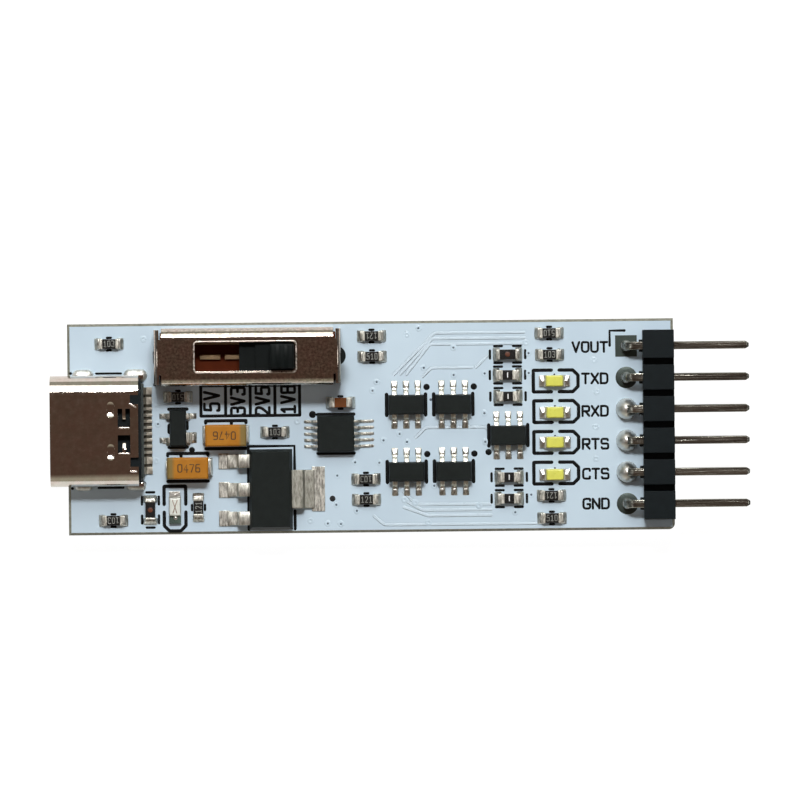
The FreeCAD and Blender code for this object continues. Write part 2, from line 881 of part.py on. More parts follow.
def leg_solder(x, width, side, upward):
    """Solder at a shell leg: all round its slot below, and outside the leg only above."""
    length = width + 2 * leg_slot_clearance + 2 * leg_pad_margin
    across = leg_thickness + 2 * leg_slot_clearance + 2 * leg_pad_margin
    mound = flat_sided([
        rectangle(length, across, 0),
        rectangle(width + leg_pad_margin, leg_thickness + leg_pad_margin, leg_solder_height)])
    mound = on_face(mound, x, leg_middle(side), upward).cut(leg_bar(x, width, side))
    if not upward:
        return mound
    reach = (leg_middle(side), leg_middle(side) + side * across)
    return mound.common(block(around(x, length), (min(reach), max(reach)), (board_top, shell_middle)))


def solder_joints():
    """Solder at the pin row, the shell legs and the switch pins."""
    joints = []
    for up in (True, False):
        joints += [solder_cone(pin_row_x, y, pad_radius, up).cut(pin_at(y)) for y in pin_row_places()]
        joints += [leg_solder(*leg, up) for leg in socket_legs()]
    for x, y in switch_pins():
        pin = block(around(x, switch_pin_width), around(y, strip_width), (0, board_top))
        joints.append(solder_cone(x, y, small_pad_radius, False).cut(pin))
    for x in can_leg_places():
        leg = block(around(x, can_wall), around(switch_y, can_leg_width), (0, board_top))
        joints.append(solder_cone(x, switch_y, pad_radius, False).cut(leg))
    return Part.makeCompound([solid for joint in joints for solid in joint.Solids])


def regulator():
    """The large regulator: three leads on the left, a wide tab on the right."""
    face = regulator_length / 2
    reach = regulator_span / 2
    leads = [
        (half_turn, step, regulator_lead_width, reach, face)
        for step in row(regulator_lead_count, regulator_lead_pitch)]
    leads.append((0.0, 0.0, regulator_tab_width, reach, face))
    return leaded_package(
        regulator_length, regulator_width, regulator_height, regulator_draft,
        regulator_lead_thickness, regulator_foot, regulator_shoulder, 0.0, leads)


def bridge():
    """The ten-lead bridge chip."""
    face = bridge_size / 2
    reach = bridge_span / 2
    steps = row(bridge_lead_count, bridge_lead_pitch)
    leads = [(turn, step, bridge_lead_width, reach, face) for turn in (0.0, half_turn) for step in steps]
    return leaded_package(
        bridge_size, bridge_size, bridge_height, body_draft, bridge_lead_thickness, bridge_foot,
        bridge_shoulder, lead_slope, leads)


def gate():
    """A six-lead gate chip, its leads above and below."""
    face = gate_width / 2
    reach = gate_span / 2
    steps = row(gate_lead_count, gate_lead_pitch)
    leads = [(turn, step, gate_lead_width, reach, face) for turn in (quarter_turn, -quarter_turn) for step in steps]
    return leaded_package(
        gate_length, gate_width, gate_height, body_draft, gate_lead_thickness, gate_foot,
        gate_shoulder, lead_slope, leads)


def surge_guard():
    """The four-lead guard chip, one lead wide."""
    face = guard_length / 2
    reach = guard_span / 2
    wide_side = guard_lead_offset - (guard_wide_lead_width - guard_lead_width) / 2
    leads = [
        (0.0, guard_lead_offset, guard_lead_width, reach, face),
        (0.0, -wide_side, guard_wide_lead_width, reach, face),
        (half_turn, guard_lead_offset, guard_lead_width, reach, face),
        (half_turn, -guard_lead_offset, guard_lead_width, reach, face)]
    return leaded_package(
        guard_length, guard_width, guard_height, body_draft, guard_lead_thickness, guard_foot,
        guard_shoulder, lead_slope, leads)


def tantalum_straps():
    """The two straps that fold from mid height under a tantalum body."""
    half = tantalum_length / 2
    low = strap_thickness / 2
    path = [(half - strap_foot, low), (half + low, low), (half + low, tantalum_waist)]
    right = strip(path, strap_thickness, strap_width)
    left = right.copy()
    left.rotate(V(0, 0, 0), UP, half_turn)
    return Part.makeCompound([left, right])


def tantalum_body():
    """A moulded tantalum block with a bevel at the positive end."""
    body = block(
        around(0, tantalum_length), around(0, tantalum_width), (strap_thickness, tantalum_height))
    upper = [e for e in body.Edges if e.BoundBox.ZMin > tantalum_height - tantalum_edge]
    return body.makeChamfer(tantalum_edge, upper)


def lamp_lens():
    """The clear moulded lens of a lamp, narrower at its top."""
    return flat_sided([
        rectangle(lens_length, lamp_width, lamp_base_height),
        rectangle(lens_top_length, lamp_width, lamp_base_height + lens_height)])


def lamp_base():
    """The plated carrier under a lamp's lens."""
    return block(around(0, lamp_length), around(0, lamp_width), (0, lamp_base_height))


def chip(height, cap):
    """A fired chip: a ceramic core with a plated cap round each end."""
    core = block(
        around(0, chip_length - cap), around(0, chip_width - 2 * chip_proud),
        (chip_proud, height - chip_proud))
    half = chip_length / 2
    caps = [block((-half, cap - half), around(0, chip_width), (0, height)), block(
        (half - cap, half), around(0, chip_width), (0, height))]
    return core.fuse(caps)


def named(prefix, shapes):
    """Numbered names for like parts."""
    return {f"{prefix}_{i}": shape for i, shape in enumerate(shapes, 1)}


def at_places(shape, places):
    """Copies of one shape at (x, y, turn) places."""
    return [on_board(shape, *place) for place in places]


def all_parts():
    """Every sub-part by its node's name."""
    parts = {
        "circuit_board": circuit_board(),
        "usb_shell": usb_shell(),
        "usb_tongue": usb_tongue(),
        "usb_contacts": usb_contacts(),
        "switch_cover": switch_cover(),
        "switch_base": switch_base(),
        "switch_contacts": switch_contacts(),
        "switch_slider": switch_slider(),
        "switch_wiper": switch_wiper(),
        "header_insulator": header_insulator(),
        "solder_joints": solder_joints(),
    }
    parts.update(named("header_pin", [pin_at(y) for y in pin_row_places()]))
    body, leads = regulator()
    parts["regulator_body"] = on_board(body, regulator_x, regulator_y)
    parts["regulator_leads"] = on_board(leads, regulator_x, regulator_y)
    body, leads = bridge()
    parts["bridge_body"] = on_board(body, bridge_x, bridge_y)
    parts["bridge_leads"] = on_board(leads, bridge_x, bridge_y)
    body, leads = surge_guard()
    parts["guard_body"] = on_board(body, guard_x, guard_y)
    parts["guard_leads"] = on_board(leads, guard_x, guard_y)
    body, leads = gate()
    parts.update(named("gate_body", at_places(body, gate_places)))
    parts["gate_leads"] = Part.makeCompound(at_places(leads, gate_places))
    parts.update(named("tantalum_capacitor", at_places(tantalum_body(), tantalum_places)))
    parts["tantalum_straps"] = Part.makeCompound(at_places(tantalum_straps(), tantalum_places))
    lamps = lamp_places + (power_lamp_place,)
    parts.update(named("signal_lamp", at_places(lamp_lens(), lamp_places)))
    parts["power_lamp"] = on_board(lamp_lens(), *power_lamp_place)
    parts["lamp_bases"] = Part.makeCompound(at_places(lamp_base(), lamps))
    parts.update(named("resistor", at_places(chip(resistor_height, resistor_cap), resistor_places)))
    parts.update(named("link", at_places(chip(link_height, link_cap), link_places)))
    parts.update(named("chip_fuse", at_places(chip(fuse_height, fuse_cap), fuse_places)))
    parts["ceramic_capacitor"] = on_board(chip(ceramic_height, ceramic_cap), ceramic_x, ceramic_y)
    return parts


os.makedirs("parts", exist_ok=True)
for name, shape in all_parts().items():
    shape.exportStep(f"parts/{name}.step")
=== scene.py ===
"""Looks of a small white adapter module: its finishes, print, solder and fine pieces, seen from above."""
import json
import math

import bmesh
import bpy
from mathutils import Matrix, Vector

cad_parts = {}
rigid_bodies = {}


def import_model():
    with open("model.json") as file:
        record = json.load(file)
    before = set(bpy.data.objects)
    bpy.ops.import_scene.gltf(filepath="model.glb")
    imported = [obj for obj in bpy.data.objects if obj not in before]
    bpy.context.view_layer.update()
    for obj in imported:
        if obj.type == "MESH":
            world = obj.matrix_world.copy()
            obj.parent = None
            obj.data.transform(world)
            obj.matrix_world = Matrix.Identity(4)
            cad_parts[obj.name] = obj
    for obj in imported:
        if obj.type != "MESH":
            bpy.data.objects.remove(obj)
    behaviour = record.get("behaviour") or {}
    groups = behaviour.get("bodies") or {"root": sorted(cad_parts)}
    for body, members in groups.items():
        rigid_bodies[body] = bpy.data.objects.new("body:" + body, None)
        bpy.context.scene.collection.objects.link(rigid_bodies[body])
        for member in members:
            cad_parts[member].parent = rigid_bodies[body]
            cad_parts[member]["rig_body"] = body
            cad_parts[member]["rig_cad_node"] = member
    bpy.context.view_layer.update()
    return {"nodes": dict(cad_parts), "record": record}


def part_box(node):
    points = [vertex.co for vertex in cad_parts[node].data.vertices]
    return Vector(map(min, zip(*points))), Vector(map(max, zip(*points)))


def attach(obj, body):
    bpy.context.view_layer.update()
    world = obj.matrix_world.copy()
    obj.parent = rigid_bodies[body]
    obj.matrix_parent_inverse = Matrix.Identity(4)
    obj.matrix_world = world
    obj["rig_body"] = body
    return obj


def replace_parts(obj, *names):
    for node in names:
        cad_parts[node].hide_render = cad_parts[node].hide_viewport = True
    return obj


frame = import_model()
MM = 0.001

# Picture: the camera looks straight down through a long lens, turned a little about its axis
PICTURE_WIDTH = 64.41
PICTURE_CENTRE = (0.013, 2.134)
PICTURE_TURN = 0.6
CAMERA_DISTANCE = 800.0
SENSOR_WIDTH = 36.0

# Light: how far away its panels stand, and how far the dark ceiling leans towards -Y in degrees
PANEL_DISTANCE = 400.0
CEILING_LEAN = 8.5

# The board's own frame: places are in millimetres from its middle, heights from its upper face
board_low, board_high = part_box("circuit_board")
BOARD_X = (board_low.x + board_high.x) / 2 / MM
BOARD_TOP = board_high.z / MM
BOARD_UNDER = board_low.z / MM
BOARD_LENGTH = (board_high.x - board_low.x) / MM
BOARD_WIDTH = (board_high.y - board_low.y) / MM

# The bare strip along the board's scored edges, and how thick the print and a thin mark on a chip are
BARE_EDGE = 0.21
INK = 0.04
THIN_INK = 0.02


def linear(code):
    """An sRGB hex value as linear red, green and blue."""
    parts = [int(code[i:i + 2], 16) / 255 for i in (1, 3, 5)]
    return tuple(c / 12.92 if c <= 0.04045 else ((c + 0.055) / 1.055) ** 2.4 for c in parts)


def colour(code):
    """The same with full opacity, as a colour socket takes it."""
    return linear(code) + (1.0,)


def add(tree, kind, inputs=None, **settings):
    """Adds a node with its settings, and sets or links its sockets."""
    made = tree.nodes.new(kind)
    for name, value in settings.items():
        setattr(made, name, value)
    for name, value in (inputs or {}).items():
        if isinstance(value, bpy.types.NodeSocket):
            tree.links.new(value, made.inputs[name])
        else:
            made.inputs[name].default_value = value
    return made


def stretched(tree, place, factors):
    """Coordinates multiplied by a factor along each axis."""
    return add(tree, "ShaderNodeVectorMath", {0: place, 1: factors}, operation="MULTIPLY").outputs[0]


def surface(name, base, rough, metal=0.0, **sockets):
    """A new material: its node tree, its shader, and the object coordinates in millimetres."""
    material = bpy.data.materials.new(name)
    material.use_nodes = True
    tree = material.node_tree
    shader = tree.nodes["Principled BSDF"]
    shader.inputs["Base Color"].default_value = colour(base)
    shader.inputs["Roughness"].default_value = rough
    shader.inputs["Metallic"].default_value = metal
    for socket, value in sockets.items():
        shader.inputs[socket.replace("_", " ")].default_value = value
    place = add(tree, "ShaderNodeTexCoord").outputs["Object"]
    return material, tree, shader, stretched(tree, place, (1 / MM, 1 / MM, 1 / MM))


def mottle(tree, place, size, detail=3.0, rough=0.6):
    """Noise whose blotches are about size millimetres across."""
    return add(tree, "ShaderNodeTexNoise", {
        "Vector": place, "Scale": 1 / size, "Detail": detail, "Roughness": rough}).outputs["Fac"]


def spread(tree, value, low, high, start=0.3, end=0.7):
    """A value moved from the start and end given to low and high."""
    return add(tree, "ShaderNodeMapRange", {
        "Value": value, "From Min": start, "From Max": end, "To Min": low, "To Max": high}).outputs[0]


def blend_colours(tree, factor, first, second):
    """A mix of two colours, each a hex value or a socket."""
    ends = {i: colour(end) if isinstance(end, str) else end for i, end in ((6, first), (7, second))}
    return add(tree, "ShaderNodeMix", {0: factor, **ends}, data_type="RGBA").outputs[2]


def relief(tree, shader, height, depth, strength=1.0):
    """Bump of a real depth in millimetres."""
    bump = add(tree, "ShaderNodeBump", {"Height": height, "Strength": strength, "Distance": depth * MM})
    tree.links.new(bump.outputs[0], shader.inputs["Normal"])


def grained(name, base, rough, metal=0.0, grain=0.15, depth=0.004, tint=0.12, **sockets):
    """A finish with a fine grain in its colour, its gloss and its relief."""
    material, tree, shader, place = surface(name, base, rough, metal, **sockets)
    fine = mottle(tree, place, grain)
    broad = mottle(tree, place, grain * 9)
    dark, pale = ((*(min(1.0, c * share) for c in linear(base)), 1.0) for share in (1 - tint, 1 + tint))
    tree.links.new(blend_colours(tree, spread(tree, broad, 0, 1), dark, pale), shader.inputs["Base Color"])
    tree.links.new(spread(tree, fine, rough * 0.85, rough * 1.15), shader.inputs["Roughness"])
    relief(tree, shader, fine, depth)
    return material


def past_edge(tree, value, centre, half):
    """How far a coordinate lies past a half width from a centre."""
    off = add(tree, "ShaderNodeMath", {0: value, 1: centre}, operation="SUBTRACT").outputs[0]
    size = add(tree, "ShaderNodeMath", {0: off}, operation="ABSOLUTE").outputs[0]
    return add(tree, "ShaderNodeMath", {0: size, 1: half}, operation="SUBTRACT").outputs[0]


def solder_mask():
    """White epoxy mask screened over glass fibre: bluish, a little glossy, bare at the scored edges."""
    material, tree, shader, place = surface("white_epoxy_mask", "#c6dae9", 0.35)
    split = add(tree, "ShaderNodeSeparateXYZ", {0: place})
    ends = past_edge(tree, split.outputs["X"], BOARD_X, BOARD_LENGTH / 2 - BARE_EDGE)
    sides = past_edge(tree, split.outputs["Y"], 0.0, BOARD_WIDTH / 2 - BARE_EDGE)
    past = add(tree, "ShaderNodeMath", {0: ends, 1: sides}, operation="MAXIMUM").outputs[0]
    bare = spread(tree, past, 0.0, 1.0, -0.01, 0.02)
    cloud = spread(tree, mottle(tree, place, 5.0, 2.0), 0.0, 1.0)
    mask = blend_colours(tree, cloud, "#c3d7e6", "#cadeec")
    fibre = blend_colours(tree, spread(tree, mottle(tree, place, 0.25), 0.0, 1.0), "#6b6b60", "#8b8b7e")
    tree.links.new(blend_colours(tree, bare, mask, fibre), shader.inputs["Base Color"])
    tree.links.new(spread(tree, bare, 0.32, 0.8, 0.0, 1.0), shader.inputs["Roughness"])
    relief(tree, shader, mottle(tree, place, 0.4), 0.002)
    return material


def drawn_steel(name, base, rough, speck, dark, pale):
    """Drawn or plated sheet: a mirror broken by fine specks, drawn coarse to show, and warm blotches."""
    material, tree, shader, place = surface(name, base, rough, 1.0)
    fine = mottle(tree, place, speck, 4.0, 0.75)
    broad = mottle(tree, place, speck * 8, 2.0)
    shade = blend_colours(tree, spread(tree, fine, 0.0, 1.0, 0.35, 0.65), dark, pale)
    blotch = spread(tree, mottle(tree, place, 1.1, 2.0), 0.0, 1.0)
    tarnish = blend_colours(tree, blotch, "#cdb2a6", "#bcc0ae")
    tree.links.new(blend_colours(tree, 0.35, shade, tarnish), shader.inputs["Base Color"])
    tree.links.new(spread(tree, fine, rough * 0.5, rough * 1.7, 0.4, 0.7), shader.inputs["Roughness"])
    relief(tree, shader, broad, speck * 0.02)
    return material


def rippled(name, dark, pale, rough, size, stretch, depth, detail, broken):
    """Bright metal in ripples, stretched along X and Y, with dark and pale bands, each raised."""
    material, tree, shader, place = surface(name, pale, rough, 1.0)
    ripple = mottle(tree, stretched(tree, place, (*stretch, 1.0)), size, detail, broken)
    shade = blend_colours(tree, spread(tree, ripple, 0.0, 1.0, 0.38, 0.62), dark, pale)
    tree.links.new(shade, shader.inputs["Base Color"])
    relief(tree, shader, ripple, size * depth)
    return material


def streaked(name, dark, pale, rough, size):
    """Solder or tin that froze in ripples: bright and dull streaks across the board."""
    return rippled(name, dark, pale, rough, size, (1.0, 0.25), 0.12, 4.0, 0.7)


def drawn_wire(name, dark, pale, rough, size):
    """Tinned wire drawn through a die: fine grooves along its length, each with a glint of its own."""
    return rippled(name, dark, pale, rough, size, (0.03, 1.0), 0.16, 2.0, 0.6)


def banded_epoxy(name, limit, side):
    """Moulded orange epoxy, satin, with a softer olive bar across its positive end, on the side given."""
    material, tree, shader, place = surface(name, "#a66e21", 0.45, Specular_IOR_Level=0.2)
    along = add(tree, "ShaderNodeSeparateXYZ", {0: place}).outputs["X"]
    bar = spread(tree, along, 0.0, 1.0, limit - 0.12 * side, limit + 0.12 * side)
    body = blend_colours(tree, spread(tree, mottle(tree, place, 0.8), 0.0, 1.0), "#a86c1c", "#b37826")
    tree.links.new(blend_colours(tree, bar, body, "#836e3f"), shader.inputs["Base Color"])
    relief(tree, shader, mottle(tree, place, 0.1), 0.004)
    return material


FINISHES = {
    "solder_mask": solder_mask(),
    # Rolled stainless is a soft warm mirror, and nickel on pressed steel the same with darker specks
    "stainless_shell": drawn_steel("bright_stainless", "#c8c0b8", 0.09, 0.5, "#bfb6ad", "#d1cac3"),
    "plated_steel": drawn_steel("nickel_plated_steel", "#c0b4aa", 0.11, 0.22, "#7a706a", "#d0c4ba"),
    # Moulded nylon, acetal and filled epoxy: near black and satin, with the mould's fine grain
    "black_moulding": grained("moulded_nylon", "#12191c", 0.5, grain=0.1, Specular_IOR_Level=0.12),
    "slider_moulding": grained("moulded_acetal", "#0f1414", 0.45, grain=0.1, Specular_IOR_Level=0.1),
    "black_epoxy": grained(
        "moulded_epoxy", "#1a1f1e", 0.6, grain=0.08, depth=0.006, Specular_IOR_Level=0.13),
    # Tin on stamped bronze and on the lamps' carriers: pale grey with a dull shine
    "plated_contact": grained("tinned_bronze", "#b9b4a8", 0.5, 1.0),
    "lamp_carrier": grained("plated_carrier", "#b9bbb4", 0.35, 0.8),
    # Paper pressed with resin: warm brown, almost matt
    "phenolic_base": grained("paper_phenolic", "#54230f", 0.6, Specular_IOR_Level=0.05),
    # Silver worn through to brass: a dull gold
    "silvered_brass": grained("silvered_brass", "#ad9474", 0.45, 0.8),
    # Solder and tin on copper: grey ripples, some bright
    "solder": streaked("tin_solder", "#918f87", "#e9e8df", 0.42, 0.16),
    "tinned_lead": streaked("tinned_copper", "#a09f95", "#ecebe1", 0.44, 0.14),
    "tinned_pin": drawn_wire("dull_tin", "#67645d", "#a5a59b", 0.22, 0.2),
    # Cast lamp epoxy: smooth and glossy, milky yellow or nearly white
    "yellow_lens": grained("yellow_lamp_epoxy", "#dcdc62", 0.3, grain=0.2),
    "clear_lens": grained("clear_lamp_epoxy", "#dfe2da", 0.2, grain=0.2),
    # Fired glaze is a black gloss, and fired ceramic a satin brown
    "glazed_chip": grained("black_glaze", "#121212", 0.3, grain=0.1),
    "brown_ceramic": grained("brown_ceramic", "#6b3b16", 0.5, grain=0.1, Specular_IOR_Level=0.2),
}
# Screened inks: flat black on the mask, grey on the resistors, almost white on the links
EPOXY_INK = grained("black_epoxy_ink", "#060708", 0.6, grain=0.2, depth=0.003, Specular_IOR_Level=0.15)
WHITE_INK = grained("white_glaze_ink", "#92948f", 0.6, grain=0.1)
CLEAR_WHITE_INK = grained("bright_glaze_ink", "#eef0f0", 0.6, grain=0.1)
# A laser browns the epoxy it marks, and a fuse's strip shows dull red through its glaze
BROWN_INK = grained("laser_browned_epoxy", "#573a10", 0.6, grain=0.1)
FUSE_WINDOW = grained("reddish_fuse_window", "#5c2d14", 0.5, grain=0.08, tint=0.4)
# Mask over copper or over a plated hole is glossier than the rest; an open hole is a grey disc of painted
# shade
RAISED_MASK = grained("mask_over_copper", "#cddfec", 0.3, grain=0.3, depth=0.003, tint=0.02)
TENTED = grained("mask_over_hole", "#c8dcea", 0.22, grain=0.2, depth=0.001, tint=0.02)
VIA_HOLE_SHADE = grained("painted_via_hole_shade", "#4f5f6e", 0.5, grain=0.1)
# A dark matt strip under the socket's tails, and a black matt disc of painted shade over the spare hole
DARK_TAIL_GAPS = grained("dark_between_tails", "#3f3a2e", 0.7, grain=0.1)
SPARE_HOLE_SHADE = grained("painted_hole_shadow", "#0a0b0c", 0.7, grain=0.1)
# Tin that air has dulled: dark grey pads, and a tab that shines less than the leads
WORN_PAD = grained("tarnished_tin", "#3d4642", 0.45, 0.6, grain=0.2)
TAB_TIN = streaked("dull_tinned_copper", "#84837a", "#b9b8ae", 0.5, 0.2)
# Sheared and rolled edges sparkle: bright metal between dark specks
SHEARED_EDGE = drawn_steel("sheared_nickel_edge", "#f0e2da", 0.5, 0.2, "#4a403a", "#fff4ee")
ROLLED_EDGE = drawn_steel("rolled_stainless_edge", "#efe6e0", 0.3, 0.12, "#c9c0ba", "#fff4ee")
# Solder that set slowly: satin domes, and frosted white round the shell's legs
DOME_SOLDER = grained("satin_solder", "#cfcdc6", 0.38, 1.0, grain=0.6, depth=0.02)
LEG_SOLDER = streaked("frosted_solder", "#c4c3bd", "#f4f3ee", 0.5, 0.35)
# Nylon greyed by heat, a green lamp base, and brownish wire seen through clear epoxy
WORN_NYLON = grained("greyed_nylon", "#2f3836", 0.5, grain=0.2, tint=0.3)
GREEN_CARRIER = grained("green_lamp_base", "#3f5148", 0.45, grain=0.15, tint=0.3)
BOND_WIRE = grained("wire_in_clear_epoxy", "#9a8174", 0.4, grain=0.1)


def select_only(piece):
    """Deselects everything, then makes one object selected and active."""
    bpy.ops.object.select_all(action="DESELECT")
    piece.select_set(True)
    bpy.context.view_layer.objects.active = piece


def faces_up(face):
    """Whether a face looks up."""
    return face.normal.z > 0.9


def change_all(piece, change):
    """Selects a whole mesh, and changes it in edit mode."""
    select_only(piece)
    bpy.ops.object.mode_set(mode="EDIT")
    bpy.ops.mesh.select_all(action="SELECT")
    change()
    bpy.ops.object.mode_set(mode="OBJECT")


def change_faces(piece, test, change):
    """Selects the faces that pass a test, and changes them in edit mode."""
    select_only(piece)
    bpy.ops.object.mode_set(mode="EDIT")
    bpy.ops.mesh.select_mode(type="FACE")
    bpy.ops.mesh.select_all(action="DESELECT")
    bpy.ops.object.mode_set(mode="OBJECT")
    for face in piece.data.polygons:
        face.select = test(face)
    bpy.ops.object.mode_set(mode="EDIT")
    change()
    bpy.ops.object.mode_set(mode="OBJECT")


def soften(piece, width, segments=2):
    """Rounds the edges sharper than 30 degrees, then shades smooth up to that angle."""
    sharp = math.radians(30.0)
    select_only(piece)
    bevel = piece.modifiers.new("edge", "BEVEL")
    bevel.width = width
    bevel.segments = segments
    bevel.limit_method = "ANGLE"
    bevel.angle_limit = sharp
    bpy.ops.object.modifier_apply(modifier="edge")
    bpy.ops.object.shade_smooth_by_angle(angle=sharp)
    flats = piece.modifiers.new("flats", "WEIGHTED_NORMAL")
    flats.keep_sharp = True
    bpy.ops.object.modifier_apply(modifier="flats")


def smooth_form(piece, levels):
    """Subdivides a form into a round one and shades it smooth."""
    select_only(piece)
    rounder = piece.modifiers.new("round", "SUBSURF")
    rounder.levels = levels
    rounder.render_levels = levels
    bpy.ops.object.modifier_apply(modifier="round")
    bpy.ops.object.shade_smooth()


def block(length, width, low, high, x=0.0, y=0.0):
    """A box in millimetres between two heights."""
    bpy.ops.object.select_all(action="DESELECT")
    bpy.ops.mesh.primitive_cube_add(
        size=1.0, location=(x, y, (low + high) / 2), scale=(length, width, high - low))
    piece = bpy.context.object
    bpy.ops.object.transform_apply(location=True, rotation=True, scale=True)
    return piece


def draw_in(piece, share, centre, shift=(0.0, 0.0)):
    """Makes the upper face smaller about a centre, and moves it along."""
    def change():
        """Scales what is selected, then moves it."""
        bpy.ops.transform.resize(value=(*share, 1.0), center_override=centre)
        bpy.ops.transform.translate(value=(*shift, 0.0))

    change_faces(piece, faces_up, change)


def mound(foot, crown, height, shift=(0.0, 0.0), start=(0.0, 0.0), edge=0.05, levels=1):
    """A low solder form: a rectangle that rises to a smaller one, shifted along, all rounded."""
    piece = block(*foot, 0.0, height, *start)
    draw_in(piece, (crown[0] / foot[0], crown[1] / foot[1]), (*start, height), shift)
    soften(piece, edge)
    smooth_form(piece, levels)
    return piece


def dome(radius, height, sides=24, rings=12):
    """A round cap of solder: the upper half of a ball, pressed to its height."""
    bpy.ops.object.select_all(action="DESELECT")
    bpy.ops.mesh.primitive_uv_sphere_add(segments=sides, ring_count=rings, radius=radius)
    piece = bpy.context.object

    def press():
        """Cuts the lower half away, and presses what is left."""
        bpy.ops.mesh.bisect(plane_co=(0, 0, 0), plane_no=(0, 0, 1), clear_inner=True, use_fill=True)
        bpy.ops.mesh.select_all(action="SELECT")
        bpy.ops.transform.resize(value=(1.0, 1.0, height / radius), center_override=(0, 0, 0))

    change_all(piece, press)
    bpy.ops.object.shade_smooth_by_angle(angle=math.radians(50))
    return piece


def dimple(radius, depth):
    """A small crater: mask sunk over a plated hole, with a low lip that falls away gently."""
    piece = dome(radius, depth, 20, 18)
    lip = 0.46
    for vertex in piece.data.vertices:
        if vertex.co.z > 0:
            share = vertex.co.xy.length / radius
            vertex.co.z = depth * ((share / lip) ** 2 if share < lip else (1 - share) / (1 - lip))
    return piece


def long_dome(run, radius, height):
    """A cap stretched along X, as solder stands on an oblong pad."""
    piece = dome(radius, height)
    for vertex in piece.data.vertices:
        vertex.co.x += math.copysign(run / 2, vertex.co.x) if abs(vertex.co.x) > 1e-6 else 0.0
    return piece


def coloured(piece, *finishes):
    """Gives a piece its materials."""
    piece.data.materials.clear()
    for finish in finishes:
        piece.data.materials.append(finish)
    return piece


def joined(pieces):
    """Several pieces as one, with their materials."""
    bpy.ops.object.select_all(action="DESELECT")
    for piece in pieces:
        piece.select_set(True)
    bpy.context.view_layer.objects.active = pieces[0]
    bpy.ops.object.join()
    return bpy.context.object


def seat(x, y, turn=0.0, level=0.0):
    """The move from millimetres about 0 to a place on the board, in metres."""
    there = Matrix.Translation(((BOARD_X + x) * MM, y * MM, (BOARD_TOP + level) * MM))
    return there @ Matrix.Rotation(math.radians(turn), 4, "Z") @ Matrix.Scale(MM, 4)


def lay_out(name, template, places):
    """One piece made of copies of a template at (x, y, turn, level) places on the board."""
    whole = bmesh.new()
    for place in places:
        copy = template.data.copy()
        copy.transform(seat(*place))
        whole.from_mesh(copy)
        bpy.data.meshes.remove(copy)
    mesh = bpy.data.meshes.new(name)
    whole.to_mesh(mesh)
    whole.free()
    for material in template.data.materials:
        mesh.materials.append(material)
    piece = bpy.data.objects.new(name, mesh)
    bpy.context.scene.collection.objects.link(piece)
    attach(piece, "module")
    return piece


def set_out(name, template, finish, places):
    """Colours a template that nothing else needs, lays it out and removes it."""
    lay_out(name, coloured(template, finish), places)
    bpy.data.objects.remove(template)


def middle(node):
    """The middle of a node's box on the board."""
    low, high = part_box(node)
    return (low.x + high.x) / 2 / MM - BOARD_X, (low.y + high.y) / 2 / MM


def height_of(node):
    """The top of a node above the board."""
    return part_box(node)[1].z / MM - BOARD_TOP


def standing(node):
    """A chip's place, and a quarter turn if it is longer across the board than along it."""
    low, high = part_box(node)
    return (*middle(node), 90.0 if high.y - low.y > high.x - low.x else 0.0)


def numbered(prefix):
    """Every node that starts with a prefix and ends in a number."""
    names = [part["node"] for part in frame["record"]["subparts"]]
    return [name for name in names if name.startswith(prefix) and name[len(prefix):].isdigit()]


def body_of(node):
    """The body that a node rides on."""
    groups = frame["record"]["behaviour"]["bodies"]
    return next(body for body, members in groups.items() if node in members)


def finished(node, edge, finish=None, segments=2):
    """A copy of a node with its triangles merged and its edges softened by edge millimetres."""
    piece = frame["nodes"][node].copy()
    piece.data = piece.data.copy()
    piece.name = node + "_finished"
    piece.parent = None
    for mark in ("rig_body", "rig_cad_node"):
        if mark in piece:
            del piece[mark]
    bpy.context.scene.collection.objects.link(piece)

    def merge():
        """Joins the loose triangles, then the faces that lie in one plane."""
        bpy.ops.mesh.remove_doubles(threshold=0.0005 * MM)
        bpy.ops.mesh.dissolve_limited(angle_limit=math.radians(1.0))

    change_all(piece, merge)
    soften(piece, edge * MM, segments)
    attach(piece, body_of(node))
    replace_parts(piece, node)
    slot = next(part["material_slot"] for part in frame["record"]["subparts"] if part["node"] == node)
    return coloured(piece, finish or FINISHES[slot])


# How far the edges of each finished copy are rounded, the pins' in finer steps
PLAIN_EDGE = 0.03
PIN_EDGE = 0.07
EDGES = {
    "switch_contacts": 0.02, "usb_contacts": 0.02, "gate_leads": 0.04, "bridge_leads": 0.04,
    "regulator_leads": 0.06, "usb_shell": 0.07, "switch_cover": 0.05, "header_insulator": 0.05,
    "switch_wiper": 0.01, "tantalum_straps": 0.02,
}
REMADE = ("resistor_", "link_", "chip_fuse_", "signal_lamp_", "ceramic_capacitor", "power_lamp",
          "tantalum_capacitor_", "solder_joints", "circuit_board")


def finish_the_rest():
    """Gives every node that isn't remade its finished copy, and the board its mask."""
    for part in frame["record"]["subparts"]:
        node = part["node"]
        if node.startswith("header_pin_"):
            finished(node, PIN_EDGE, segments=3)
        elif not node.startswith(REMADE):
            finished(node, EDGES.get(node, PLAIN_EDGE))
    frame["nodes"]["circuit_board"].material_slots[0].material = FINISHES["solder_mask"]


def dull_tab():
    """Gives the regulator's wide tab its own tin, duller than the narrow leads'."""
    piece = bpy.data.objects["regulator_leads_finished"]
    piece.data.materials.append(TAB_TIN)
    start = (BOARD_X + middle("regulator_body")[0]) * MM
    for face in piece.data.polygons:
        if face.center.x > start:
            face.material_index = 1


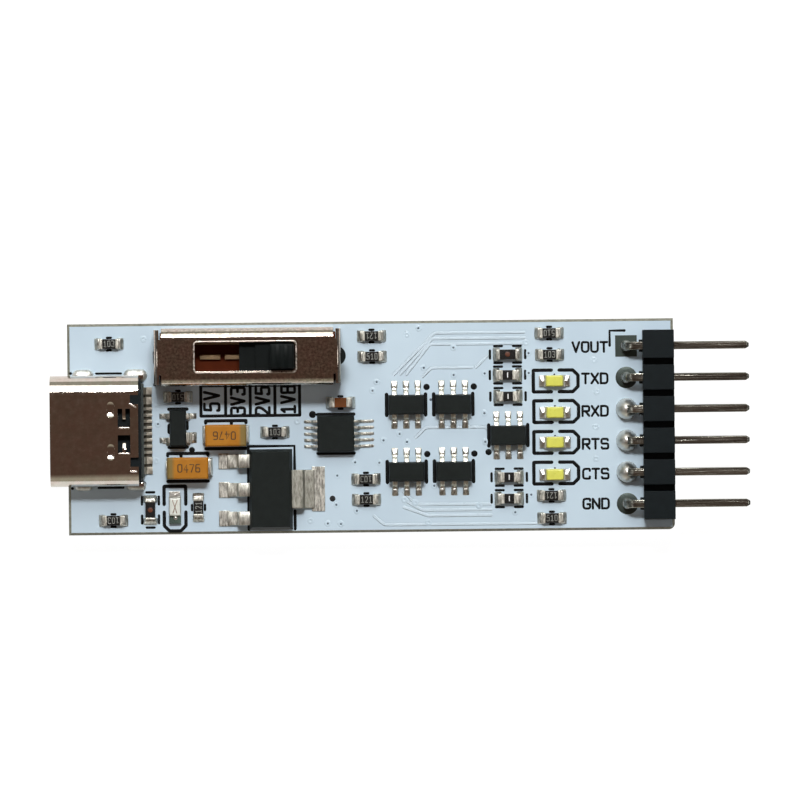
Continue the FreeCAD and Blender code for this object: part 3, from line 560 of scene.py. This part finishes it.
def tantalums():
    """The two orange capacitors: an olive bar at one end, a number on top and solder past both ends."""
    bar_length = 0.5
    under = 0.2
    # The side of the bar, the number's turn, and how far the solder reaches past the left and right ends
    kinds = {"tantalum_capacitor_1": (1, 180.0, 0.27, 0.27), "tantalum_capacitor_2": (-1, 0.0, 0.15, 0.37)}
    for node, (side, turn, *past_ends) in kinds.items():
        x, y = middle(node)
        low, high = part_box(node)
        reach = (high.x - low.x) / 2 / MM
        limit = BOARD_X + x + side * (reach - bar_length)
        finished(node, 0.04, banded_epoxy(f"barred_orange_epoxy_{node[-1]}", limit, side))
        for end, past, word in zip((-1, 1), past_ends, ("left", "right")):
            strap = mound((past + under, 1.5), (past + 0.05, 1.3), 0.8, (-end * 0.05, 0.0))
            place = (x + end * (reach + (past - under) / 2), y + 0.1)
            set_out(f"capacitor_solder_{node[-1]}_{word}", strap, FINISHES["solder"], [place])
        strokes = lettering("0476", 0.6, 0.32, 0.48, turn, (x - 0.1 * side, y))
        name = f"capacitor_number_{node[-1]}"
        printed(name, strokes, 0.1, BROWN_INK, height_of(node), 0.01)


# Strokes of each letter and number in a unit square, with how far their inner corners are rounded
GLYPHS = {
    "V": [(0.02, (0, 1), (0.5, 0), (1, 1))],
    "O": [(0.5, (0.5, 1), (1, 1), (1, 0), (0, 0), (0, 1), (0.5, 1))],
    "U": [(0.45, (0, 1), (0, 0), (1, 0), (1, 1))],
    "T": [(0, (0, 1), (1, 1)), (0, (0.5, 1), (0.5, 0))],
    "X": [(0, (0, 1), (1, 0)), (0, (0, 0), (1, 1))],
    "D": [(0, (0, 0), (0, 1)), (0.45, (0, 1), (1, 1), (1, 0), (0, 0))],
    "R": [(0, (0, 0), (0, 1)), (0.25, (0, 1), (1, 1), (1, 0.48), (0, 0.48)), (0, (0.45, 0.48), (1, 0))],
    "S": [
        (0.25, (0.95, 0.86), (0.9, 1), (0, 1), (0, 0.52), (1, 0.52), (1, 0), (0.1, 0), (0.02, 0.14))],
    "C": [(0.4, (1, 0.8), (1, 1), (0, 1), (0, 0), (1, 0), (1, 0.2))],
    "G": [(0.4, (1, 0.8), (1, 1), (0, 1), (0, 0), (1, 0), (1, 0.45)), (0, (1, 0.45), (0.6, 0.45))],
    "N": [(0.02, (0, 0), (0, 1), (1, 0), (1, 1))],
    "1": [(0.02, (0.15, 0.78), (0.55, 1), (0.55, 0)), (0, (0.1, 0), (1, 0))],
    "2": [(0.4, (0, 0.8), (0, 1), (1, 1), (1, 0.62), (0, 0)), (0, (0, 0), (1, 0))],
    "3": [
        (0.3, (0, 1), (1, 1), (1, 0.52), (0.4, 0.52)),
        (0.3, (0.4, 0.52), (1, 0.52), (1, 0), (0, 0), (0, 0.14))],
    "4": [(0, (0.72, 0), (0.72, 1), (0, 0.3), (1, 0.3))],
    "5": [
        (0.02, (0.95, 1), (0.12, 1), (0.06, 0.56)),
        (0.32, (0.06, 0.56), (1, 0.62), (1, 0), (0, 0), (0, 0.12))],
    "7": [(0, (0, 1), (1, 1), (0.35, 0))],
    "6": [(0.35, (0.9, 1), (0, 1), (0, 0), (1, 0), (1, 0.55), (0, 0.55))],
    "8": [
        (0.24, (0.5, 0.53), (0, 0.53), (0, 1), (1, 1), (1, 0.53), (0.5, 0.53)),
        (0.24, (0.5, 0.53), (0, 0.53), (0, 0), (1, 0), (1, 0.53), (0.5, 0.53))],
}
GLYPHS["0"] = GLYPHS["O"]


def rounded(points, radius):
    """A run of points with its inner corners drawn as short curves."""
    path = [points[0]]
    for before, here, after in zip(points, points[1:], points[2:]):
        reach = min(radius, (here - before).length / 2, (after - here).length / 2)
        start = here + (before - here).normalized() * reach
        end = here + (after - here).normalized() * reach
        steps = [i / 4 for i in range(5)] if reach > 0.1 * radius else [0.5]
        path += [start * (1 - t) ** 2 + here * 2 * t * (1 - t) + end * t ** 2 for t in steps]
    path.append(points[-1])
    return path


def placed(points, turn, centre):
    """Points about the origin turned anticlockwise, then moved to a centre."""
    spin = Matrix.Rotation(math.radians(turn), 2)
    return [spin @ Vector(point) + Vector(centre) for point in points]


def lettering(text, height, width, advance, turn, centre):
    """The strokes of a word or number about its centre, turned anticlockwise."""
    whole = advance * (len(text) - 1) + width
    strokes = []
    for i, letter in enumerate(text):
        for radius, *points in GLYPHS[letter]:
            start = i * advance - whole / 2
            flat = [(start + px * width, (py - 0.5) * height) for px, py in points]
            turned = placed(flat, turn, centre)
            strokes.append(rounded(turned, radius * width) if radius else turned)
    return strokes


def with_round_ends(points, radius):
    """The points and their share of the line's width, narrowed at both ends as a round nib leaves them."""
    def tip(end, before):
        """The narrowing points past an end."""
        away = (end - before).normalized() * radius
        angles = [math.radians(angle) for angle in (35, 65, 88)]
        return [(end + away * math.sin(angle), math.cos(angle)) for angle in angles]

    run = [(point, 1.0) for point in points]
    return tip(points[0], points[1])[::-1] + run + tip(points[-1], points[-2])


def printed(name, strokes, width, finish, level=0.0, thickness=INK):
    """Lines of one width along runs of points, with round ends, as one flat raised piece."""
    line = bpy.data.curves.new(name, "CURVE")
    line.dimensions = "3D"
    line.fill_mode = "FULL"
    line.bevel_depth = width / 2
    line.bevel_resolution = 1
    for points in strokes:
        run = with_round_ends([Vector(point) for point in points], width / 2)
        spline = line.splines.new("POLY")
        spline.points.add(len(run) - 1)
        for point, (spot, share) in zip(spline.points, run):
            point.co = (spot.x, spot.y, 0.0, 1.0)
            point.radius = share
    drawn = bpy.data.objects.new(name, line)
    bpy.context.scene.collection.objects.link(drawn)
    select_only(drawn)
    bpy.ops.object.convert(target="MESH")
    piece = bpy.context.object
    change_all(piece, lambda: bpy.ops.mesh.remove_doubles(threshold=0.001))
    bpy.ops.object.shade_smooth()
    flat = Matrix.Diagonal((1.0, 1.0, thickness / width, 1.0))
    piece.data.transform(seat(0.0, 0.0, 0.0, level) @ flat)
    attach(piece, "module")
    return coloured(piece, finish)


def across(x, y, length, upright=False):
    """One straight stroke about its middle."""
    half = length / 2
    return [(x, y - half), (x, y + half)] if upright else [(x - half, y), (x + half, y)]


def pin_labels():
    """The word beside each pin, its right end in line with the others."""
    right = 19.08
    height, width, advance = 0.78, 0.53, 0.75
    words = {"VOUT": -0.06, "TXD": -0.05, "RXD": -0.13, "RTS": -0.24, "CTS": -0.1, "GND": 0.03}
    strokes = []
    for i, (word, shift) in enumerate(words.items(), 1):
        y = middle(f"header_pin_{i}")[1] + shift
        span = advance * (len(word) - 1) + width
        strokes += lettering(word, height, width, advance, 0.0, (right - span / 2, y))
    printed("pin_labels", strokes, 0.185, EPOXY_INK)


def selector_table():
    """The table under the switch: one column for each of its positions, with its voltage."""
    pitch = 1.987
    left, foot, head = -13.67, 1.0, 3.44
    lines = [across(left + i * pitch, (foot + head) / 2, head - foot, True) for i in range(5)]
    lines += [across(left + 2 * pitch, level, 4 * pitch) for level in (foot, head)]
    printed("selector_lines", lines, 0.25, EPOXY_INK)
    # Each word's start, height, width, advance and shift from the middle of its column
    columns = {
        "5V": (1.44, 1.19, 0.56, 0.92, -0.12), "3V3": (1.1, 1.07, 0.54, 0.81, 0.0),
        "2V5": (1.1, 1.07, 0.54, 0.81, 0.0), "1V8": (1.2, 1.07, 0.52, 0.81, 0.07)}
    words = []
    for i, (word, (start, height, width, advance, shift)) in enumerate(columns.items()):
        centre = (left + (i + 0.5) * pitch + shift, start + (advance * (len(word) - 1) + width) / 2)
        words += lettering(word, height, width, advance, 90.0, centre)
    printed("selector_voltages", words, 0.23, EPOXY_INK)


def dots(name, places, radius, finish, thickness=INK, level=0.0):
    """Round marks at (x, y) places on a level."""
    spot = dome(radius, thickness, 16, 6)
    set_out(name, spot, finish, [place + (0.0, level) for place in places])


def chip_outlines():
    """Print round the moulded chips: a bar at each end, and a dot by the first lead."""
    bars = []
    marks = []
    for node in numbered("gate_body_"):
        x, y = middle(node)
        bars += [across(x + side * 1.57, y, 1.68, True) for side in (-1, 1)]
        marks.append((x - 1.6, y - 1.33) if node.endswith("5") else (x + 1.66, y + 1.41))
    x, y = middle("bridge_body")
    bars += [across(x, y + side * 1.56, 2.9) for side in (-1, 1)]
    bridge_dot = (x - 1.86, y + 1.57)
    x, y = middle("guard_body")
    bars += [across(x, y + side * 1.53, 1.45) for side in (-1, 1)]
    bars += [across(x - 0.72, y - 0.05, 0.55, True), across(x + 0.72, y + 0.2, 0.45, True)]
    printed("chip_bars", bars, 0.29, EPOXY_INK)
    dots("chip_dots", marks, 0.26, EPOXY_INK)
    dots("bridge_dot", [bridge_dot], 0.29, EPOXY_INK)
    dots("guard_dot", [(x + 1.1, y - 1.76)], 0.24, EPOXY_INK)
    x, y = middle("regulator_body")
    left, right, head, foot = x - 1.8, x + 1.92, y + 3.48, y - 3.2
    outline = [[(left + 0.02, head), (right, head), (right, y + 1.62)], [(right, y - 1.75), (right, foot)]]
    printed("regulator_outline", [*outline, [(left, head), (left, foot)]], 0.24, EPOXY_INK)


def capacitor_outlines():
    """Print along both sides of the orange capacitors, with a tick at the middle."""
    strokes = []
    for node, tick in (("tantalum_capacitor_1", 0.45), ("tantalum_capacitor_2", -0.55)):
        x, y = middle(node)
        strokes += [across(x, y + level, 3.24) for level in (-1.05, 1.19)]
        strokes += [across(x + side * 1.62, y + 1.1, 0.16, True) for side in (-1, 1)]
        strokes.append(across(x + tick, y + 1.06, 0.2, True))
    printed("capacitor_outlines", strokes, 0.27, EPOXY_INK)


def boxed_chip_outlines():
    """Print round the links and fuses: two short lines above and below, one at each end."""
    strokes = []
    for node in numbered("link_") + numbered("chip_fuse_"):
        *centre, turn = standing(node)
        local = [across(side * 0.76, level, 0.62) for side in (-1, 1) for level in (-0.68, 0.68)]
        local += [across(side * 1.42, 0.0, 0.62, True) for side in (-1, 1)]
        strokes += [placed(stroke, turn, centre) for stroke in local]
    printed("boxed_chip_outlines", strokes, 0.2, EPOXY_INK)


def resistor_ticks():
    """A short mark beside the middle of each resistor and of the ceramic capacitor."""
    strokes = []
    for node in numbered("resistor_") + ["ceramic_capacitor"]:
        x, y, turn = standing(node)
        if turn:
            strokes += [across(x + side * 0.52, y, 0.4, True) for side in (-1, 1)]
        else:
            strokes += [across(x, y + side * 0.5, 0.3) for side in (-1, 1)]
    printed("resistor_ticks", strokes, 0.2, EPOXY_INK)


def lamp_frames():
    """Print round the lamps: open at the middle of both long sides, two corners cut on the minus side."""
    half_length, plain_length, half_width, corner, gap = 1.83, 1.77, 0.87, 0.42, 0.32
    strokes = []
    lamps = []
    for node, lift in zip(numbered("signal_lamp_"), (0.0, 0.08, 0.0, 0.13)):
        x, y = middle(node)
        lamps.append((x + 0.07, y + lift, 0.0))
    x, y = middle("power_lamp")
    lamps.append((x, y - 0.1, -90.0))
    for *centre, turn in lamps:
        plain = [
            (-gap, half_width), (-plain_length, half_width),
            (-plain_length, -half_width), (-gap, -half_width)]
        cut = [
            (gap, half_width), (half_length - corner, half_width), (half_length, half_width - corner),
            (half_length, corner - half_width), (half_length - corner, -half_width), (gap, -half_width)]
        strokes += [rounded(placed(run, turn, centre), 0.06) for run in (plain, cut)]
    printed("lamp_frames", strokes, 0.28, EPOXY_INK)


def loose_marks():
    """The other print: a bracket at the first pin, bars beside the socket, and dots."""
    x, y = 19.29, middle("header_pin_1")[1]
    bracket = [[(x + 1.2, y + 1.24), (x, y + 1.24), (x, y + 0.04)]]
    printed("first_pin_bracket", bracket, 0.21, EPOXY_INK)
    bars = [across(-21.08, 4.51, 2.0), across(-20.98, -4.69, 2.0)]
    printed("socket_bars", bars, 0.18, EPOXY_INK)
    dots("corner_marks", [(-24.14, 4.55), (-24.08, -4.72), (-17.39, 3.55)], 0.12, EPOXY_INK)


def vias():
    """Plated holes: grey discs of painted shade at open ones, pale dimples under the mask, a black one at
    the spare.
    """
    open_ones = [
        (3.9, 7.9), (6.7, 6.3), (4.3, 4.7), (6.7, 4.1), (0.5, 3.6), (0.15, 2.9), (9.2, 4.2),
        (9.15, 1.0), (2.3, -0.6), (12.75, 5.8), (12.75, 4.2), (1.0, -1.1), (2.9, -1.25), (0.65, -2.9),
        (-2.75, -3.9), (-1.3, -2.85), (-1.2, -6.75), (-2.5, -7.8), (-3.55, -7.75), (-2.85, -6.25),
        (11.55, -7.0), (5.05, -4.8), (12.85, -5.6), (-17.15, 0.4), (9.2, -1.3)]
    covered = [
        (-18.25, 7.25), (-17.3, -2.55), (2.95, 7.4), (12.55, 6.65), (18.0, 5.2), (18.2, 2.65),
        (18.1, -0.2), (18.1, -2.75), (3.5, -6.15), (2.65, -5.9), (8.65, -6.45), (4.55, -7.75),
        (-4.95, -7.5), (-5.93, 0.5)]
    # A hole so near a chip's printed bar that only its disc of painted shade shows
    beside_bar = (4.84, 2.14)
    set_out("via_dimples", dimple(0.29, 0.026), TENTED, open_ones + covered)
    # Open holes: flat grey discs of painted shade that stand in for the shade inside each hole
    dots("open_via_shade_dots", [*open_ones, beside_bar], 0.11, VIA_HOLE_SHADE, THIN_INK)
    # A black disc of painted shade over the spare hole, standing in for the shade inside it
    set_out("spare_hole_painted_shadow", dome(0.24, THIN_INK, 20, 6), SPARE_HOLE_SHADE, [(-3.15, -5.75)])


def traces():
    """Copper under the mask: low ridges that run along the board and turn at 45 degrees."""
    runs = []
    for i in range(3):
        step = 0.45 * i
        runs.append([(12.4, 7.5 - step), (5.2 - 0.2 * i, 7.5 - step), (1.9 + 0.5 * i, 4.2)])
        runs.append([(9.6, -6.3 - step), (3.6 + step, -6.3 - step), (2.6, -5.3 - 0.6 * i)])
    runs += [[(10.0, -0.9), (9.2, -0.1), (4.4, -0.1), (3.6, -0.9)], [(4.2, 4.0), (4.9, 4.7), (8.2, 4.7)]]
    runs += [[(13.2, -7.9), (1.0, -7.9), (0.2, -7.2)], [(9.4, 5.6), (8.5, 4.7)]]
    strokes = [rounded([Vector(point) for point in run], 0.2) for run in runs]
    printed("traces", strokes, 0.26, RAISED_MASK, thickness=0.003)


def chip_template(height, cap, core, spill):
    """A fired chip and its solder: a core, a rounded cap at each end and a fillet that spills past it."""
    length, width, pad_reach, under = 1.6, 0.82, 1.24, 0.2
    body = coloured(block(length - cap, width - 0.04, 0.02, height - 0.02), core)
    soften(body, 0.03)
    pieces = [body]
    for side in (-1, 1):
        end = block(cap, width, 0.0, height, side * (length - cap) / 2)
        soften(end, 0.07, 3)
        foot = (pad_reach - length / 2 + under, width + spill)
        start = (side * (pad_reach + length / 2 - under) / 2, 0.0)
        rise = mound(foot, (0.26, width - 0.05), height * 0.75, (-side * 0.14, 0.0), start, 0.08)
        pieces += [coloured(end, FINISHES["tinned_lead"]), coloured(rise, FINISHES["solder"])]
    return joined(pieces)


def chips():
    """Every chip in its place, each standing for its own solid, and the marks on them."""
    # The length of the caps, how far the solder spills past their sides, and the core's finish
    kinds = {
        "resistor_": (0.3, 0.2, "glazed_chip"), "link_": (0.44, 0.4, "glazed_chip"),
        "chip_fuse_": (0.2, 0.4, "glazed_chip"), "ceramic_capacitor": (0.35, 0.2, "brown_ceramic")}
    for prefix, (cap, spill, slot) in kinds.items():
        nodes = numbered(prefix) or [prefix]
        template = chip_template(height_of(nodes[0]), cap, FINISHES[slot], spill)
        for node in nodes:
            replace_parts(lay_out(node + "_finished", template, [standing(node)]), node)
        bpy.data.objects.remove(template)
    words = ("103", "121", "510")
    strokes = []
    for i, node in enumerate(numbered("resistor_")):
        x, y, turn = standing(node)
        strokes += lettering(words[i % len(words)], 0.46, 0.18, 0.32, turn + 180 * (i % 2), (x, y))
    level = height_of("resistor_1") - THIN_INK
    printed("resistor_numbers", strokes, 0.06, WHITE_INK, level, THIN_INK)
    strokes = [across(*middle(node), 0.34, True) for node in numbered("link_")]
    level = height_of("link_1") - THIN_INK
    printed("link_numbers", strokes, 0.1, CLEAR_WHITE_INK, level, THIN_INK)
    fuses = [middle(node) for node in numbered("chip_fuse_")]
    level = height_of("chip_fuse_1") - THIN_INK
    dots("fuse_windows", fuses, 0.2, FUSE_WINDOW, 0.015, level)


def lens_template(height):
    """A lamp's moulded lens: round-edged, narrower at the top."""
    length, width, top_length, top_width = 1.5, 0.9, 1.3, 0.846
    piece = block(length, width, height_of("lamp_bases"), height)
    draw_in(piece, (top_length / length, top_width / width), (0.0, 0.0, height))
    soften(piece, 0.1, 3)
    return piece


def lamps():
    """The five lamps: lenses over the carriers, with solder at both ends."""
    ends = []
    for prefix, slot in (("signal_lamp_", "yellow_lens"), ("power_lamp", "clear_lens")):
        nodes = numbered(prefix) or [prefix]
        template = coloured(lens_template(height_of(nodes[0])), FINISHES[slot])
        for node in nodes:
            ends.append(standing(node))
            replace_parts(lay_out(node + "_finished", template, [ends[-1]]), node)
        bpy.data.objects.remove(template)
    *signals, (power_x, power_y, _) = ends
    spots = [(x + 1.0, y, 0.0) for x, y, _ in signals] + [(x - 1.0, y, 180.0) for x, y, _ in signals]
    spots.append((power_x, power_y + 1.0, 90.0))
    foot = block(0.5, 0.88, 0.0, 0.2)
    soften(foot, 0.05)
    set_out("lamp_solder", foot, FINISHES["solder"], spots)
    crown = mound((0.48, 0.86), (0.2, 0.06), 0.15, (-0.08, 0.0), levels=2)
    set_out("lamp_solder_crowns", crown, DOME_SOLDER, [spot + (0.18,) for spot in spots])
    dots("lamp_cathode_dots", [(x, y + 0.52) for x, y, _ in signals], 0.08, EPOXY_INK)


def power_lamp_end():
    """The power lamp's green base and bead at its lower end, and the two wires in its lens."""
    x, y = middle("power_lamp")
    base = block(0.95, 0.62, 0.0, 0.36)
    soften(base, 0.05)
    set_out("power_lamp_green_base", base, GREEN_CARRIER, [(x, y - 1.03)])
    bead_place = (x + 0.05, y - 0.86, 0.0, 0.34)
    set_out("power_lamp_bead", dome(0.2, 0.16, 16, 8), DOME_SOLDER, [bead_place])
    wires = [[(x + side * 0.2, y + 0.56), (x, y), (x - side * 0.16, y - 0.5)] for side in (-1, 1)]
    printed("power_lamp_wires", wires, 0.07, BOND_WIRE, height_of("power_lamp"), THIN_INK)


def toes(node, offsets, reach, turn):
    """Places at the toes of a chip's leads: reach out from its middle, each offset along that side."""
    out = Vector((math.cos(math.radians(turn)), math.sin(math.radians(turn))))
    along = Vector((-out.y, out.x))
    start = Vector(middle(node)) + out * reach
    return [(*(start + along * offset), turn) for offset in offsets]


def lead_fillets():
    """Solder at the toe of every chip lead, each with its width, length, height and places."""
    gates = [place for node in numbered("gate_body_") for turn in (90, -90) for place in toes(
        node, (-0.95, 0, 0.95), 1.475, turn)]
    bridge = (-1, -0.5, 0, 0.5, 1)
    guard = toes("guard_body", (-0.97, 0.97), 1.2, 180) + toes("guard_body", (0.97,), 1.2, 0)
    rounded_toes = {
        "gate_solder": (0.58, 0.5, 0.17, gates),
        "bridge_right_solder": (0.3, 0.72, 0.16, toes("bridge_body", bridge, 2.4, 0)),
        "bridge_left_solder": (0.3, 0.3, 0.16, toes("bridge_body", bridge, 2.3, 180)),
        "guard_solder": (0.5, 0.34, 0.22, guard),
        "guard_wide_solder": (0.95, 0.34, 0.22, toes("guard_body", (-0.77,), 1.2, 0))}
    flat_films = {
        "regulator_solder": (1.25, 0.7, 0.12, toes("regulator_body", (-2.3, 0, 2.3), 3.5, 180)),
        "regulator_tab_solder": (3.6, 0.85, 0.08, toes("regulator_body", (0,), 3.5, 0))}
    under = 0.1
    for name, (width, length, height, places) in rounded_toes.items():
        foot, crown = (length + 2 * under, width), (0.2, width * 0.55)
        start = length / 2 - under
        toe = mound(foot, crown, height, (-start, 0.0), (start, 0.0), levels=2)
        set_out(name, toe, FINISHES["solder"], places)
    for name, (width, length, height, places) in flat_films.items():
        film = block(length + 2 * under, width, 0.0, height, length / 2 - under)
        soften(film, 0.04, 3)
        set_out(name, film, FINISHES["solder"], places)


def socket_solder():
    """Round-ended solder at the four shell legs, and a dark strip laid under the socket's tails."""
    low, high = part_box("usb_shell")
    left, right = low.x / MM - BOARD_X, high.x / MM - BOARD_X
    for name, x, run in (("front_leg_solder", left + 2.6, 0.7), ("rear_leg_solder", right - 0.66, 0.9)):
        for side, y, radius in (("upper", high.y / MM - 0.02, 0.52), ("lower", low.y / MM + 0.02, 0.36)):
            set_out(f"{name}_{side}", long_dome(run, radius, 0.42), LEG_SOLDER, [(x, y)])
    tail_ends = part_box("usb_contacts")[1].x / MM - BOARD_X
    # A dark strip under the tails, so that the gaps between them show dark
    patch = block(0.75, 6.9, -0.01, 0.02)
    soften(patch, 0.01)
    place = (tail_ends - 0.4, middle("usb_shell")[1])
    set_out("dark_strip_under_tails", patch, DARK_TAIL_GAPS, [place])


def socket_details():
    """The shell's rolled window edges, which catch the light, and the ledge that its tails come out of."""
    edges = [[(-20.15, 0.12), (-19.4, 0.11)], [(-20.18, -1.93), (-19.4, -1.94)]]
    edges += [[(-19.33, 2.05), (-18.87, 1.78)], [(-19.26, -3.37), (-18.84, -3.38)]]
    level = height_of("usb_shell") - 0.01
    printed("window_edges", edges, 0.18, ROLLED_EDGE, level, 0.07)
    ledge = block(0.32, 7.6, 0.02, 1.5)
    soften(ledge, 0.06)
    place = (-18.43, middle("usb_shell")[1])
    set_out("socket_rear_ledge", ledge, WORN_NYLON, [place])


def deepen_grooves():
    """Break-off grooves of the pin row's insulator as deep as they look."""
    modelled, further = 0.6 * MM, 0.5 * MM
    floor_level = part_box("header_insulator")[1].z - modelled

    def is_floor(face):
        """Whether a face is the floor of a groove."""
        return faces_up(face) and abs(face.center.z - floor_level) < 0.1 * MM

    piece = bpy.data.objects["header_insulator_finished"]
    change_faces(piece, is_floor, lambda: bpy.ops.transform.translate(value=(0.0, 0.0, -further)))


def header_solder():
    """Each pin's pad and solder: domes on three, and a little round the pin on the others."""
    pad_x = 20.6
    places = [(pad_x, middle(node)[1]) for node in numbered("header_pin_")]
    scant = [places[i] for i in (0, 1, 5)]
    set_out("header_domes", dome(0.86, 1.3), DOME_SOLDER, places[2:5])
    set_out("header_scant_solder", dome(0.46, 0.7), DOME_SOLDER, scant)
    square = block(1.74, 1.72, -0.01, 0.04)
    soften(square, 0.03)
    set_out("first_pad", square, WORN_PAD, places[:1])
    set_out("round_pads", dome(0.87, 0.06, 32, 8), WORN_PAD, places[1:])


def under_solder():
    """The solder below the board, without what stands above it, where finer forms take its place."""
    piece = finished("solder_joints", 0.05)
    level = (BOARD_TOP - 0.05) * MM
    change_faces(piece, lambda face: face.center.z > level, lambda: bpy.ops.mesh.delete(type="FACE"))


def slot_rim():
    """The sheared rim round the switch's slot, rounded over and rough enough to sparkle."""
    x, y = middle("switch_cover")[0] - 0.17, middle("switch_slider")[1] - 0.02
    half_x, half_y = 4.1, 1.25
    corners = ((0, 1), (1, 1), (1, -1), (-1, -1), (-1, 1), (0, 1))
    ring = rounded([Vector((x + sx * half_x, y + sy * half_y)) for sx, sy in corners], 0.3)
    printed("slot_rim", [ring], 0.15, SHEARED_EDGE, height_of("switch_cover"), 0.06)


finish_the_rest()
dull_tab()
tantalums()
pin_labels()
selector_table()
chip_outlines()
capacitor_outlines()
boxed_chip_outlines()
resistor_ticks()
lamp_frames()
loose_marks()
vias()
traces()
chips()
lamps()
power_lamp_end()
lead_fillets()
socket_solder()
socket_details()
deepen_grooves()
header_solder()
under_solder()
slot_rim()


def add_camera():
    """The long-lens camera straight above the module."""
    lens = bpy.data.cameras.new("camera")
    lens.sensor_width = SENSOR_WIDTH
    lens.lens = SENSOR_WIDTH * CAMERA_DISTANCE / PICTURE_WIDTH
    lens.clip_start = 0.05
    lens.clip_end = 10.0
    camera = bpy.data.objects.new("camera", lens)
    x, y = PICTURE_CENTRE
    camera.location = (x * MM, y * MM, (BOARD_TOP + CAMERA_DISTANCE) * MM)
    camera.rotation_euler = (0, 0, math.radians(-PICTURE_TURN))
    bpy.context.scene.collection.objects.link(camera)
    bpy.context.scene.camera = camera


def add_panel(name, tilt, turn, width, height, radiance):
    """A soft white light, tilted from straight up and turned from +Y towards -X."""
    light = bpy.data.lights.new(name, "AREA")
    light.shape = "RECTANGLE"
    light.size = width * MM
    light.size_y = height * MM
    light.energy = radiance * math.pi * light.size * light.size_y
    holder = bpy.data.objects.new(name, light)
    tilt, turn = math.radians(tilt), math.radians(turn)
    away = Vector((-math.sin(turn) * math.sin(tilt), math.cos(turn) * math.sin(tilt), math.cos(tilt)))
    holder.location = away * PANEL_DISTANCE * MM
    holder.rotation_mode = "QUATERNION"
    holder.rotation_quaternion = away.to_track_quat("Z", "Y")
    bpy.context.scene.collection.objects.link(holder)


def add_room():
    """The world round the module: a dark warm ceiling and walls of three tones, by direction."""
    world = bpy.data.worlds.new("room")
    bpy.context.scene.world = world
    world.use_nodes = True
    tree = world.node_tree
    direction = add(tree, "ShaderNodeTexCoord").outputs["Generated"]
    lean = math.radians(CEILING_LEAN)
    centre = (0.0, -math.sin(lean), math.cos(lean))
    cosine = add(tree, "ShaderNodeVectorMath", {0: direction, 1: centre}, operation="DOT_PRODUCT")
    side = add(tree, "ShaderNodeSeparateXYZ", {0: direction}).outputs["Y"]
    lower = blend_colours(tree, spread(tree, side, 0.0, 1.0, -0.7, -0.4), "#b8b3a4", "#6c7173")
    walls = blend_colours(tree, spread(tree, side, 0.0, 1.0, 0.3, 0.6), lower, "#b0b2a8")
    ceiling = spread(tree, cosine.outputs["Value"], 0.0, 1.0, 0.45, 0.84)
    room = blend_colours(tree, ceiling, walls, "#5f4c42")
    tree.links.new(room, tree.nodes["Background"].inputs["Color"])


def add_lights():
    """A small bright key light, a softbox beyond it, and a weak light at each side."""
    add_panel("key_light", 28.5, 0.0, 112.0, 45.0, 61.0)
    add_panel("softbox", 46.5, 0.0, 300.0, 222.0, 2.5)
    add_panel("left_light", 44.0, 90.0, 80.0, 80.0, 2.5)
    add_panel("right_light", 44.0, -90.0, 80.0, 80.0, 2.5)


def add_floor():
    """A pale sheet just under the tails, which glows so that it shows white with no shadow's edge."""
    bpy.ops.object.select_all(action="DESELECT")
    bpy.ops.mesh.primitive_plane_add(size=3.0, location=(0, 0, -0.02 * MM))
    floor = bpy.context.object
    floor.name = "floor"
    paper, _, shader, _ = surface("pale_paper", "#707070", 0.9)
    shader.inputs["Emission Color"].default_value = (1.0, 1.0, 1.0, 1.0)
    shader.inputs["Emission Strength"].default_value = 0.95
    floor.data.materials.append(paper)


add_camera()
add_room()
add_lights()
add_floor()
bpy.context.scene.view_settings.view_transform = "Standard"
